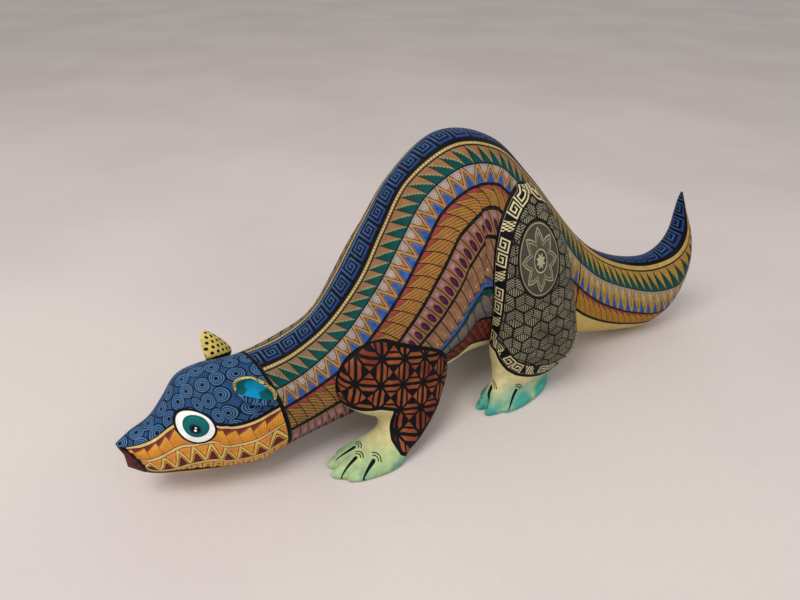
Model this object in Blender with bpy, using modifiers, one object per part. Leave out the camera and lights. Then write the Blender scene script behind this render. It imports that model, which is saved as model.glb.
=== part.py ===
"""Carved and painted wooden animal figure (long-bodied otter or weasel), metres, +Z up.

X runs along the length with the head toward -X, the animal's left side faces -Y.
The head, trunk and tail are three lengths of one long tapered loft, glued on round
dowels at the collar and behind the haunch.  The four legs are let into pockets in the
trunk and glued on dowels.  The two ears are separate cups that plug into the head.
"""
import math

import bmesh
import bpy
import numpy as np
from mathutils import Matrix, Vector

# ---------------------------------------------------------------- driving dimensions
MM = 0.001
GAP = 0.3                    # glue gap between two touching pieces
RUN = 0.1                    # radial running clearance of an ear peg
SHIFT = (-11.9, -2.8)        # moves the figure so that its box is centred on the origin
DOWEL_R = 4.0                # glue dowels
DOWEL_L = 24.0
PEG_R = 3.2                  # ear pegs
PEG_L = 8.0
HANDLE = 0.36                # how far a section leaves the back along its normal
SLOPE_STEP = 0.01            # reach of the finite difference along the body's lines
BODY_SIDES = 32              # facets round the head and trunk
TAIL_SIDES = 24
LEG_SIDES = 32
EAR_SIDES = 20
DOWEL_SIDES = 20
SOCKET_SIDES = 24
HEAD_STEPS, TORSO_STEPS, TAIL_STEPS = 24, 38, 26

# Sections of the long body, head to tail tip.  Each one gives the point on the line of
# the back (x, z), the point on the belly line (x, z), the sideways place of its middle,
# its half width, how far down its widest place is, and the fullness of its upper and
# lower quarters (2 is an ellipse, more is squarer).
BODY = [
    ("nose",     -230,  46, -227,  27, -20,  5.0, .50, 2.0, 2.0),
    ("snout",    -221,  50, -218,  20, -19, 11.5, .54, 2.2, 2.2),
    ("muzzle",   -210,  54, -203,  16, -18, 17.5, .58, 2.2, 2.3),
    ("stop",     -200,  64, -190,  13, -17, 23.0, .60, 2.2, 2.4),
    ("eyes",     -189,  77, -177,  11, -15.5, 27.0, .60, 2.1, 2.4),
    ("brow",     -174,  80, -163,   9, -14, 30.0, .60, 2.1, 2.4),
    ("cheek",    -160,  79, -149,   7.5, -13.5, 31.0, .58, 2.1, 2.4),
    ("collar",   -145,  79, -138,   8.5, -12, 29.5, .55, 2.1, 2.3),
    ("neck",     -122,  83, -106,  13,  -9, 29.5, .52, 2.2, 2.3),
    ("shoulder",  -97,  92,  -72,  19,  -6, 33.0, .52, 2.3, 2.3),
    ("chest",     -75, 117,  -42,  25,  -2, 37.0, .50, 2.4, 2.3),
    ("ribs",      -54, 144,  -20,  26,   3, 39.0, .50, 2.4, 2.6),
    ("back",      -32, 174,   -4,  26,   7, 40.0, .50, 2.3, 2.7),
    ("hump",        1, 197,   14,  28,  11, 40.0, .52, 2.3, 2.7),
    ("loin",       38, 190,   32,  29,  12, 40.0, .52, 2.3, 2.7),
    ("rump",       70, 160,   50,  29,  11, 39.0, .54, 2.2, 2.5),
    ("croup",      98, 128,   74,  26,  10, 35.5, .54, 2.2, 2.3),
    ("root",      119, 105,  104,  19,   9, 31.0, .54, 2.2, 2.2),
    ("tail_a",    140,  88,  138,  12,   9, 27.5, .54, 2.2, 2.2),
    ("tail_b",    164,  76,  170,   5,   9, 25.0, .54, 2.1, 2.2),
    ("tail_c",    189,  69,  203,   0.4,  9, 23.0, .54, 2.0, 2.1),
    ("tail_d",    209,  68,  231,   9,   9, 20.5, .53, 2.0, 2.0),
    ("tail_e",    222,  75,  248,  30,   9, 16.5, .52, 2.0, 2.0),
    ("tail_f",    227,  87,  254,  56,   9, 12.5, .52, 2.0, 2.0),
    ("tail_g",    227, 101,  249,  82,   9,  8.5, .50, 2.0, 2.0),
    ("tail_h",    227, 113,  238, 103,   9,  5.0, .50, 2.0, 2.0),
    ("tip",       228, 122,  230, 120,   9,  1.2, .50, 2.0, 2.0),
]
COLLAR, ROOT, TIP = 7, 17, 26
JOINT_PITCH = 18.0           # distance between sections next to the two joints

# Dowels across the joints of the long body: middle (x, y), slope of the dowel, how far
# the joint leans back for each unit of height above JOINT_LEVEL, and the two heights.
JOINT_LEVEL = 60.0
LONG_DOWELS = {
    "neck": (-143.0, -12.0, 0.06, -0.10, (58.0, 34.0)),
    "tail": (112.0, 9.0, -0.38, 0.14, (74.0, 44.0)),
}

# Legs, as level sections from the top of the shoulder or haunch down to the sole, in a
# frame that stands on the body's middle line: height, middle (x, y), half length, half
# width, squareness, turn of the paw in degrees and depth of the clefts between toes.
FRONT_FRAMES = {"left": (-58.0, 1.0, 12.0), "right": (-46.0, -2.0, 8.0)}   # x, y and turn
FRONT_LEG = [
    (85.0, -10.0, -32.0,  6.0,  4.0, 2.0,  0, 0.0),
    (81.0,  -8.0, -31.0, 20.0,  8.0, 2.1,  0, 0.0),
    (75.0,  -4.5, -30.0, 33.0, 12.0, 2.3,  0, 0.0),
    (67.0,  -3.0, -29.5, 41.0, 15.5, 2.4,  0, 0.0),
    (57.0,  -3.0, -30.0, 44.0, 18.0, 2.5,  0, 0.0),
    (46.0,  -1.5, -32.0, 43.0, 18.5, 2.4,  0, 0.0),
    (38.0,   1.0, -35.5, 37.5, 17.5, 2.3,  0, 0.0),
    (30.5,   3.0, -39.3, 28.6, 15.0, 2.2,  3, 0.0),
    (24.0,   1.0, -44.0, 23.0, 12.5, 2.2,  6, 0.0),
    (17.5,  -6.5, -47.5, 20.5, 11.5, 2.2, 10, 0.0),
    (12.5, -19.0, -49.0, 22.5, 12.5, 2.3, 14, 0.0),
    ( 8.5, -29.0, -48.0, 25.0, 14.5, 2.4, 14, 0.05),
    ( 4.0, -35.0, -47.0, 27.0, 16.5, 2.4, 14, 0.10),
    ( 1.2, -35.8, -46.9, 27.1, 16.5, 2.4, 14, 0.10),
    ( 0.0, -35.8, -46.9, 25.9, 15.3, 2.4, 14, 0.10),
]
HIND_FRAMES = {"left": (45.0, 12.0, 0.0), "right": (45.0, 12.0, 0.0)}
HIND_LEG = [
    (164.0,   3.0, -25.5,  4.0,  3.5, 2.0,  0, 0.0),
    (160.0,   2.0, -25.5, 12.0,  8.5, 2.1,  0, 0.0),
    (152.5,   1.0, -27.0, 18.5, 12.5, 2.2,  0, 0.0),
    (141.0,   2.0, -30.0, 24.5, 15.5, 2.3,  0, 0.0),
    (126.0,   5.0, -34.0, 28.5, 18.0, 2.4,  0, 0.0),
    (104.0,   9.0, -38.0, 31.5, 19.5, 2.4,  0, 0.0),
    ( 78.0,  13.0, -40.5, 33.0, 20.0, 2.4,  0, 0.0),
    ( 56.0,  16.0, -41.5, 34.5, 20.0, 2.4,  0, 0.0),
    ( 41.0,  17.5, -41.5, 36.0, 18.5, 2.4,  0, 0.0),
    ( 30.0,  18.0, -41.5, 35.5, 16.0, 2.3, -3, 0.0),
    ( 20.5,  15.0, -41.5, 34.0, 13.5, 2.2, -9, 0.0),
    ( 14.0,  10.0, -41.3, 33.5, 12.8, 2.1, -14, 0.0),
    (  9.0,   5.0, -42.0, 34.5, 14.0, 2.1, -17, 0.04),
    (  4.2,   1.8, -43.2, 37.0, 16.5, 2.1, -17, 0.09),
    (  1.2,   1.6, -43.3, 37.2, 16.5, 2.1, -17, 0.09),
    (  0.0,   1.6, -43.3, 36.0, 15.3, 2.1, -17, 0.09),
]
TOE_START = 0.2              # share of the paw's front half before the clefts begin
CLEFT_REACH = 2.4
# Dowels of a leg: two places (x, height) in the leg's frame and their depth in the body
LEG_DOWELS = {
    "front_leg": (((-18.0, 62.0), (10.0, 62.0)), 20.0),
    "hind_leg": (((2.0, 136.0), (12.0, 74.0)), 24.0),
}

# Ears: the seat of the left ear on the head, the way its peg points out of the head, and
# its level sections.  Each section gives the height and depth of the back wall, its half
# width, and the height, depth and half width of the front or inner wall.
EAR_SEAT = (-147.9, -37.3, 65.0)
EAR_AXIS = (0.18, -0.50, 0.85)
EAR_ALONG = (0.885, -0.296, -0.364)
EAR_SWEEP = 0.34             # forward sweep of the ear above its base
EAR_BASE = 0.4
HEAD_TURN = 14.0             # the head looks a little to the left
HEAD_MIDDLE = (-151.0, -12.5)
EAR = [
    (-PEG_L, PEG_R - 0.5, PEG_R - 0.5, -PEG_L, 0.5 - PEG_R, PEG_R - 0.5),
    (0.6 - PEG_L, PEG_R, PEG_R, 0.6 - PEG_L, -PEG_R, PEG_R),
    (0.3, PEG_R, PEG_R, 0.3, -PEG_R, PEG_R),
    (EAR_BASE, 5.5, 7.6, EAR_BASE, -5.5, 7.6),
    (1.6, 7.0, 10.4, 1.6, -6.0, 10.4),
    (3.4, 8.0, 12.8, 3.2, -5.6, 12.0),
    (5.0, 8.4, 14.1, 4.2, -4.2, 12.0),
    (6.4, 8.4, 14.4, 4.0, -2.6, 11.4),
    (7.6, 8.2, 14.3, 2.6, 3.6, 10.6),
    (11.0, 7.0, 13.2, 9.4, 5.2, 11.6),
    (14.8, 5.4, 10.7, 13.8, 3.7, 9.2),
    (18.5, 3.6, 7.1, 17.7, 2.2, 5.9),
    (21.6, 1.8, 3.0, 21.1, 0.7, 2.1),
]
EAR_TIP = 0.5                # rise of the rounded tip above the last section
SEAT_ROWS = slice(3, 9)      # the ear's sections that its seat in the head follows
SEAT_TOP = 16.0
SOCKET_OPEN = 2.5            # how far the socket's cutter stands out of the head
EYE_U = 3.25                 # station of the eyes, and how far down the side they are
EYE_T = 0.26
EYE_R = 13.0
EYE_H = 1.5


# ---------------------------------------------------------------- helpers
def spline(rows, u):
    """Smooth curve through the rows, one unit of u per row."""
    a = np.array(rows, float)
    u = min(max(u, 0.0), len(a) - 1.0)
    i = min(int(u), len(a) - 2)
    f = u - i
    p = [a[min(max(i + k, 0), len(a) - 1)] for k in (-1, 0, 1, 2)]
    return 0.5 * (2 * p[1] + (p[2] - p[0]) * f + (2 * p[0] - 5 * p[1] + 4 * p[2] - p[3]) * f ** 2
                  + (3 * p[1] - p[0] - 3 * p[2] + p[3]) * f ** 3)


def unit(v):
    n = math.hypot(*v)
    return (v[0] / n, v[1] / n)


STATIONS = [s[1:] for s in BODY]


def body_section(u):
    """Everything needed to place points on the body at u."""
    s = spline(STATIONS, u)
    lo, hi = max(u - SLOPE_STEP, 0.0), min(u + SLOPE_STEP, len(STATIONS) - 1.0)
    d = spline(STATIONS, hi) - spline(STATIONS, lo)
    back, belly = unit(d[0:2]), unit(d[2:4])
    run = d[0] + d[2]
    side = unit((-2 * d[4], run)) if abs(run) > 1e-9 else (0.0, 1.0)
    if side[1] < 0:
        side = (-side[0], -side[1])
    return s, (back[1], -back[0]), (-belly[1], belly[0]), side


def body_point(section, t, w):
    """Point at depth t (0 back, 1 belly) and sideways offset w toward +Y."""
    s, n_back, n_belly, side = section
    dx, dz, vx, vz = s[0:4]
    h = math.hypot(vx - dx, vz - dz) * HANDLE
    ax, az = dx + n_back[0] * h, dz + n_back[1] * h
    bx, bz = vx + n_belly[0] * h, vz + n_belly[1] * h
    c0, c1, c2, c3 = (1 - t) ** 3, 3 * (1 - t) ** 2 * t, 3 * (1 - t) * t * t, t ** 3
    x = c0 * dx + c1 * ax + c2 * bx + c3 * vx
    z = c0 * dz + c1 * az + c2 * bz + c3 * vz
    return Vector((x + w * side[0], s[4] + w * side[1], z))


def body_ring(u, sides):
    """Section of the body at u, starting on the line of the back, and its middle."""
    section = body_section(u)
    s = section[0]
    ring = []
    for k in range(sides):
        a = 2 * math.pi * k / sides
        c, q = math.cos(a), -math.sin(a)
        n = s[7] if c >= 0 else s[8]
        rise, out = abs(c) ** (2 / n), abs(q) ** (2 / n)
        t = s[6] * (1 - rise) if c >= 0 else s[6] + (1 - s[6]) * rise
        ring.append(body_point(section, t, math.copysign(out, q) * s[5] if abs(q) > 1e-9 else 0.0))
    return ring, body_point(section, s[6], 0.0)


def make_object(name, verts, faces, home):
    """Mesh object with outward faces, shaded smooth, from points in millimetres."""
    mesh = bpy.data.meshes.new(name)
    mesh.from_pydata([(v[0] * MM, v[1] * MM, v[2] * MM) for v in verts], [], faces)
    bm = bmesh.new()
    bm.from_mesh(mesh)
    bmesh.ops.recalc_face_normals(bm, faces=bm.faces)
    bm.to_mesh(mesh)
    bm.free()
    mesh.shade_smooth()
    obj = bpy.data.objects.new(name, mesh)
    home.objects.link(obj)
    return obj


def loft(rings, start, end):
    """Closed skin over rings of equal count; start and end are the cap middles."""
    n = len(rings[0])
    verts = [v for ring in rings for v in ring]
    faces = []
    for r in range(len(rings) - 1):
        for k in range(n):
            a, b = r * n + k, r * n + (k + 1) % n
            faces.append((a, b, b + n, a + n))
    for middle, first in ((start, 0), (end, (len(rings) - 1) * n)):
        verts.append(middle)
        m = len(verts) - 1
        faces += [(m, first + k, first + (k + 1) % n) for k in range(n)]
    return verts, faces


def body_length(name, u0, u1, steps, sides, home):
    """One length of the long body between u0 and u1."""
    rings, middles = [], []
    for k in range(steps + 1):
        ring, middle = body_ring(u0 + (u1 - u0) * k / steps, sides)
        rings.append(ring)
        middles.append(middle)
    verts, faces = loft(rings, middles[0], middles[-1])
    if name == "head":
        raise_eyes(verts)
    verts = [v + Vector((SHIFT[0], SHIFT[1], 0)) for v in verts]
    return make_object(name, verts, faces, home)


def head_place(spot, way, side):
    """A place and direction given for the left of the head, on the left or the right."""
    turn = Matrix.Rotation(math.radians(HEAD_TURN), 3, "Z")
    middle = Vector((HEAD_MIDDLE[0], HEAD_MIDDLE[1], 0.0))
    arm = turn.inverted() @ (Vector(spot) - middle)
    aim = turn.inverted() @ Vector(way).normalized()
    if side > 0:
        arm.y, aim.y = -arm.y, -aim.y
    return middle + turn @ arm, turn @ aim


def raise_eyes(verts):
    """Low mound under each painted eye."""
    section = body_section(EYE_U)
    wide, middle, full = section[0][5:8]
    half = wide * (1 - ((middle - EYE_T) / middle) ** full) ** (1 / full)
    centre = body_point(section, EYE_T, 0.0)
    for side in (-1, 1):
        eye = body_point(section, EYE_T, side * half)
        out = (eye - centre).normalized()
        for v in verts:
            d = (v - eye).length / EYE_R
            if d < 1:
                v += out * EYE_H * (1 - d * d) ** 2


def leg_ring(row, sides):
    """Level section of a leg, with clefts between the toes where the row asks for them."""
    z, cx, cy, ax, ay, n, turn, cleft = row
    ring = []
    for k in range(sides):
        a = 2 * math.pi * (k + 0.5) / sides
        c, q = -math.cos(a), math.sin(a)
        x = math.copysign(abs(c) ** (2 / n), c) * ax
        y = math.copysign(abs(q) ** (2 / n), q) * ay
        if cleft and c < -TOE_START:
            ahead = (-c - TOE_START) / (1 - TOE_START)
            toe = abs(math.sin(1.5 * math.pi * (y / ay)))
            x += ax * cleft * CLEFT_REACH * ahead * (1 - toe)
        r = math.radians(-turn)
        ring.append(Vector((cx + x * math.cos(r) - y * math.sin(r),
                            cy + x * math.sin(r) + y * math.cos(r), z)))
    return ring


def frame_matrix(frame):
    x, y, turn = frame
    return (Matrix.Translation((x + SHIFT[0], y + SHIFT[1], 0.0))
            @ Matrix.Rotation(math.radians(turn), 4, "Z"))


def ear_sweep(z):
    """How far forward the ear has swept at a height."""
    return -EAR_SWEEP * max(z - EAR_BASE, 0.0)


def ear_ring(row):
    """Section of an ear: back wall first, then the front or inner wall."""
    zb, back, wide, zf, front, narrow = row
    half = EAR_SIDES // 2
    ring = []
    for k in range(EAR_SIDES):
        a = math.pi * (k % half + 0.5) / half
        if k < half:
            x, y, z = wide * math.cos(a), back * math.sin(a), zb
        else:
            x, y, z = -narrow * math.cos(a), front * math.sin(a), zf
        ring.append((x + ear_sweep(z), y, z))
    return ring


def make_leg(name, rows, frame, side, home):
    """Leg on the left (side 1) or the right (side -1) of a body frame."""
    rings = [leg_ring(r, LEG_SIDES) for r in rows]
    verts, faces = loft(rings, Vector((rows[0][1], rows[0][2], rows[0][0])),
                        Vector((rows[-1][1], rows[-1][2], rows[-1][0])))
    m = frame_matrix(frame)
    return make_object(name, [m @ Vector((v[0], v[1] * side, v[2])) for v in verts], faces, home)


def dowel(name, middle, direction, radius, length, home, sides=DOWEL_SIDES, chamfer=0.6):
    """Round dowel with chamfered ends, placed by its object transform."""
    bpy.ops.mesh.primitive_cylinder_add(vertices=sides, radius=radius * MM, depth=length * MM)
    obj = bpy.context.object
    obj.name = name
    obj.data.name = name
    for c in list(obj.users_collection):
        c.objects.unlink(obj)
    home.objects.link(obj)
    obj.location = Vector(middle) * MM
    obj.rotation_mode = "QUATERNION"
    obj.rotation_quaternion = Vector(direction).to_track_quat("Z", "X")
    if chamfer:
        bev = obj.modifiers.new("chamfer", "BEVEL")
        bev.width = chamfer * MM
        bev.segments = 1
        bev.limit_method = "ANGLE"
        bev.angle_limit = math.radians(60)
    return obj


def cut(obj, tool):
    mod = obj.modifiers.new("cut_" + tool.name, "BOOLEAN")
    mod.operation = "DIFFERENCE"
    mod.solver = "EXACT"
    mod.object = tool


def as_cutter(obj):
    obj.hide_render = True
    obj.display_type = "WIRE"
    return obj


def wood(name, colour, roughness):
    mat = bpy.data.materials.new(name)
    mat.use_nodes = True
    bsdf = mat.node_tree.nodes["Principled BSDF"]
    bsdf.inputs["Base Color"].default_value = (*colour, 1.0)
    bsdf.inputs["Roughness"].default_value = roughness
    return mat


def paint(obj, mat):
    obj.data.materials.clear()
    obj.data.materials.append(mat)


def glue_dowel(name, middle, along, pieces):
    """Dowel across a joint, with a blind bore cut into each of the pieces it joins."""
    peg = dowel(name, middle, along, DOWEL_R, DOWEL_L, figure)
    paint(peg, MAT_DOWEL)
    bore = as_cutter(dowel("bore_" + name, middle, along, DOWEL_R + GAP, DOWEL_L + 2 * GAP,
                           tools, chamfer=0))
    for piece in pieces:
        cut(piece, bore)


def build_legs(kind, rows, frames, mat, torso):
    """The left and right leg of a pair, their pockets in the trunk and their dowels."""
    spots, depth = LEG_DOWELS[kind]
    for word, side in (("left", 1), ("right", -1)):
        frame = frames[word]
        leg = make_leg(kind + "_" + word, rows, frame, side, figure)
        paint(leg, mat)
        pocket = as_cutter(make_leg("pocket_" + kind + "_" + word, rows, frame, side, tools))
        swell = pocket.modifiers.new("clearance", "DISPLACE")
        swell.strength = GAP * MM
        swell.mid_level = 0.0
        cut(torso, pocket)
        m = frame_matrix(frame)
        across = m.to_3x3() @ Vector((0, 1, 0))
        for place, (x, z) in zip(("a", "b"), spots):
            middle = m @ Vector((x, -depth * side, z))
            glue_dowel("%s_%s_dowel_%s" % (kind, word, place), middle, across, (torso, leg))


def build_long_dowels(head, torso, tail):
    """Two dowels across the collar and two across the root of the tail."""
    for word, pair in (("neck", (head, torso)), ("tail", (torso, tail))):
        x, y, slope, lean, heights = LONG_DOWELS[word]
        for place, z in zip(("upper", "lower"), heights):
            middle = (x + (z - JOINT_LEVEL) * lean + SHIFT[0], y + SHIFT[1], z)
            glue_dowel("%s_dowel_%s" % (word, place), middle, Vector((1.0, 0.0, slope)), pair)


def ear_seat_rings(side):
    """Seat under an ear: it widens upward with the ear and never closes in again."""
    rings = []
    wide, back, front = 0.0, 0.0, 0.0
    rows = EAR[SEAT_ROWS]
    for z, row_back, row_wide, _, row_front, _ in rows + [(SEAT_TOP,) + rows[-1][1:]]:
        wide = max(wide, row_wide)
        back = max(back, row_back)
        front = min(front, row_front)
        ring = []
        for k in range(EAR_SIDES):
            a = 2 * math.pi * (k + 0.5) / EAR_SIDES
            reach = back + GAP if math.sin(a) > 0 else GAP - front
            x = (wide + GAP) * math.cos(a)
            x += ear_sweep(z) if x < 0 else 0.0
            ring.append((x, reach * math.sin(a) * -side, z - GAP))
        rings.append(ring)
    return rings


def build_ear(word, side, head):
    """An ear is a scoop on a straight round peg, hollow side out and a little forward."""
    seat, axis = head_place(EAR_SEAT, EAR_AXIS, side)
    _, along = head_place(EAR_SEAT, EAR_ALONG, side)
    seat += Vector((SHIFT[0], SHIFT[1], 0.0))
    along = (along - axis * along.dot(axis)).normalized()
    turn = Matrix((along, axis.cross(along), axis)).transposed().to_quaternion()

    rings = [[(p[0], p[1] * -side, p[2]) for p in ear_ring(row)] for row in EAR]
    top = EAR[-1]
    tip = (ear_sweep(top[0]), (top[1] + top[4]) / 2 * -side, top[0] + EAR_TIP)
    ear = make_object("ear_" + word, *loft(rings, (0, 0, -PEG_L), tip), figure)
    paint(ear, MAT_EAR)
    seat_rings = ear_seat_rings(side)
    hollow = as_cutter(make_object(
        "seat_ear_" + word,
        *loft(seat_rings, (0, 0, seat_rings[0][0][2]), (0, 0, seat_rings[-1][0][2])), tools))
    for obj in (ear, hollow):
        obj.rotation_mode = "QUATERNION"
        obj.rotation_quaternion = turn
        obj.location = seat * MM
    cut(head, hollow)
    length = PEG_L + GAP + SOCKET_OPEN
    socket = as_cutter(dowel("socket_ear_" + word, seat + axis * (SOCKET_OPEN - length / 2), axis,
                             PEG_R + RUN, length, tools, sides=SOCKET_SIDES, chamfer=0))
    cut(head, socket)


# ---------------------------------------------------------------- scene
for old in list(bpy.data.objects):
    bpy.data.objects.remove(old, do_unlink=True)

figure = bpy.data.collections.new("carved_animal")
tools = bpy.data.collections.new("cutters")
bpy.context.scene.collection.children.link(figure)
bpy.context.scene.collection.children.link(tools)

MAT_TRUNK = wood("painted_trunk", (0.45, 0.26, 0.16), 0.5)
MAT_HEAD = wood("painted_head", (0.10, 0.19, 0.40), 0.5)
MAT_TAIL = wood("painted_tail", (0.55, 0.40, 0.12), 0.5)
MAT_ARM = wood("painted_front_leg", (0.30, 0.09, 0.04), 0.5)
MAT_HAUNCH = wood("painted_haunch", (0.13, 0.13, 0.10), 0.5)
MAT_EAR = wood("painted_ear", (0.05, 0.45, 0.55), 0.5)
MAT_DOWEL = wood("birch_dowel", (0.62, 0.47, 0.30), 0.6)

# the glue gap is shared by the two sides of each joint of the long body
seam = 0.5 * GAP / JOINT_PITCH
head = body_length("head", 0.0, COLLAR - seam, HEAD_STEPS, BODY_SIDES, figure)
torso = body_length("torso", COLLAR + seam, ROOT - seam, TORSO_STEPS, BODY_SIDES, figure)
tail = body_length("tail", ROOT + seam, TIP, TAIL_STEPS, TAIL_SIDES, figure)
paint(head, MAT_HEAD)
paint(torso, MAT_TRUNK)
paint(tail, MAT_TAIL)
build_legs("front_leg", FRONT_LEG, FRONT_FRAMES, MAT_ARM, torso)
build_legs("hind_leg", HIND_LEG, HIND_FRAMES, MAT_HAUNCH, torso)
build_long_dowels(head, torso, tail)
for word, side in (("left", -1), ("right", 1)):
    build_ear(word, side, head)
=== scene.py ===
"""Looks of the carved and painted wooden animal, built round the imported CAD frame.

The head, trunk and tail are one long surface.  It is sampled in columns that follow the
painted bands, so that every band and every black line between bands has faces of its own.
Each band is painted by a procedural material in band coordinates: the distance along the
band in tiles, and the place across it.  Lengths are in millimetres until make_mesh.
"""

import math

import bpy
import numpy as np
from mathutils import Matrix, Vector
from mathutils.bvhtree import BVHTree


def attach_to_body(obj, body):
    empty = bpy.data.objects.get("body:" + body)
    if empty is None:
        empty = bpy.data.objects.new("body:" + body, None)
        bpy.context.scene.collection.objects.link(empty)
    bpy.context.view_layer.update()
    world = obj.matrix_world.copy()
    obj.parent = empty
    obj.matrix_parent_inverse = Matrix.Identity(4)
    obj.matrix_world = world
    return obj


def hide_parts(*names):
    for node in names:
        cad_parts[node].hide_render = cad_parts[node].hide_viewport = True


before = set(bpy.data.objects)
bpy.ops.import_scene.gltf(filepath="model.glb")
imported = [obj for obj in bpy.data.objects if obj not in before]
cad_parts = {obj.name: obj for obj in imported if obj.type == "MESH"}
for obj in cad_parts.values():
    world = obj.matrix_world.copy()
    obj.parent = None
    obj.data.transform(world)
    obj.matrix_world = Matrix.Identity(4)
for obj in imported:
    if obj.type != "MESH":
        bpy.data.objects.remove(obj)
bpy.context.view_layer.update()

# ---------------- shape of the carving
MM = 0.001
MAP = 100.0                  # millimetres in one unit of the maps
GAP = 0.3                    # glue gap, and running gap of the pegs
RUN = 0.1
SHIFT = np.array((-11.9, -2.8, 0.0))         # from the drawing's frame to the shared frame
PEG_R = 3.2                  # radius and length of an ear's peg
PEG_L = 8.0
HANDLE = 0.36                # handles of a section's middle curve, as a share of its height
SLOPE_STEP = 0.01
FINE_STEPS = 2000            # steps of the body's length when stations are spaced out
RING_SAMPLES = 288           # points round a section before it is resampled into columns
RING_PITCH = 1.3             # distance between sections along the body

# Sections of the long body, nose to tail tip: back line (x, z), belly line (x, z), sideways
# place, half width, depth of the widest place, fullness of the upper and lower quarters.
BODY = [
    (-230, 46, -227, 27, -20, 5, .50, 2, 2),
    (-221, 50, -218, 20, -19, 11.5, .54, 2.2, 2.2),
    (-210, 54, -203, 16, -18, 17.5, .58, 2.2, 2.3),
    (-200, 64, -190, 13, -17, 23, .60, 2.2, 2.4),
    (-189, 77, -177, 11, -15.5, 27, .60, 2.1, 2.4),
    (-174, 80, -163, 9, -14, 30, .60, 2.1, 2.4),
    (-160, 79, -149, 7.5, -13.5, 31, .58, 2.1, 2.4),
    (-145, 79, -138, 8.5, -12, 29.5, .55, 2.1, 2.3),
    (-122, 83, -106, 13, -9, 29.5, .52, 2.2, 2.3),
    (-97, 92, -72, 19, -6, 33, .52, 2.3, 2.3),
    (-75, 117, -42, 25, -2, 37, .50, 2.4, 2.3),
    (-54, 144, -20, 26, 3, 39, .50, 2.4, 2.6),
    (-32, 174, -4, 26, 7, 40, .50, 2.3, 2.7),
    (1, 197, 14, 28, 11, 40, .52, 2.3, 2.7),
    (38, 190, 32, 29, 12, 40, .52, 2.3, 2.7),
    (70, 160, 50, 29, 11, 39, .54, 2.2, 2.5),
    (98, 128, 74, 26, 10, 35.5, .54, 2.2, 2.3),
    (119, 105, 104, 19, 9, 31, .54, 2.2, 2.2),
    (140, 88, 138, 12, 9, 27.5, .54, 2.2, 2.2),
    (164, 76, 170, 5, 9, 25, .54, 2.1, 2.2),
    (189, 69, 203, 0.4, 9, 23, .54, 2, 2.1),
    (209, 68, 231, 9, 9, 20.5, .53, 2, 2),
    (222, 75, 248, 30, 9, 16.5, .52, 2, 2),
    (227, 87, 254, 56, 9, 12.5, .52, 2, 2),
    (227, 101, 249, 82, 9, 8.5, .50, 2, 2),
    (227, 113, 238, 103, 9, 5, .50, 2, 2),
    (228, 122, 230, 120, 9, 1.2, .50, 2, 2),
]
COLLAR, ROOT, TIP = 7.0, 17.0, 26.0
MARGIN = 0.4                 # stations sampled past the collar and root, before the turn
SEAM = 0.5 * GAP / 18.0      # half the glue gap, in stations
COLLAR_TURN = 0.27           # stations by which the collar line runs back on the left
COLLAR_FADE = 1.5            # stations over which that dies out

# Level sections of the legs: height, middle (x, y), half length, half width, squareness,
# turn of the paw, depth of the clefts.
FRONT_FRAMES = {"left": (-58, 1, 12), "right": (-46, -2, 8)}
FRONT_LEG = [
    (85, -10, -32, 6, 4, 2, 0, 0),
    (81, -8, -31, 20, 8, 2.1, 0, 0),
    (75, -4.5, -30, 33, 12, 2.3, 0, 0),
    (67, -3, -29.5, 41, 15.5, 2.4, 0, 0),
    (57, -3, -30, 44, 18, 2.5, 0, 0),
    (46, -1.5, -32, 43, 18.5, 2.4, 0, 0),
    (38, 1, -35.5, 37.5, 17.5, 2.3, 0, 0),
    (30.5, 3, -39.3, 28.6, 15, 2.2, 3, 0),
    (24, 1, -44, 23, 12.5, 2.2, 6, 0),
    (17.5, -6.5, -47.5, 20.5, 11.5, 2.2, 10, 0),
    (12.5, -19, -49, 22.5, 12.5, 2.3, 14, 0),
    (8.5, -29, -48, 25, 14.5, 2.4, 14, 0.05),
    (4, -35, -47, 27, 16.5, 2.4, 14, 0.1),
    (1.2, -35.8, -46.9, 27.1, 16.5, 2.4, 14, 0.1),
    (0, -35.8, -46.9, 25.9, 15.3, 2.4, 14, 0.1),
]
HIND_FRAMES = {"left": (45, 12, 0), "right": (45, 12, 0)}
HIND_LEG = [
    (164, 3, -25.5, 4, 3.5, 2, 0, 0),
    (160, 2, -25.5, 12, 8.5, 2.1, 0, 0),
    (152.5, 1, -27, 18.5, 12.5, 2.2, 0, 0),
    (141, 2, -30, 24.5, 15.5, 2.3, 0, 0),
    (126, 5, -34, 28.5, 18, 2.4, 0, 0),
    (104, 9, -38, 31.5, 19.5, 2.4, 0, 0),
    (78, 13, -40.5, 33, 20, 2.4, 0, 0),
    (56, 16, -41.5, 34.5, 20, 2.4, 0, 0),
    (41, 17.5, -41.5, 36, 18.5, 2.4, 0, 0),
    (30, 18, -41.5, 35.5, 16, 2.3, -3, 0),
    (20.5, 15, -41.5, 34, 13.5, 2.2, -9, 0),
    (14, 10, -41.3, 33.5, 12.8, 2.1, -14, 0),
    (9, 5, -42, 34.5, 14, 2.1, -17, 0.04),
    (4.2, 1.8, -43.2, 37, 16.5, 2.1, -17, 0.09),
    (1.2, 1.6, -43.3, 37.2, 16.5, 2.1, -17, 0.09),
    (0, 1.6, -43.3, 36, 15.3, 2.1, -17, 0.09),
]
TOE_START = 0.2              # where the clefts between the toes start, and how deep they run
CLEFT_REACH = 2.4
LEG_SIDES = 112
LEG_STEPS = 10               # sections between two rows of a leg

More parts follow.
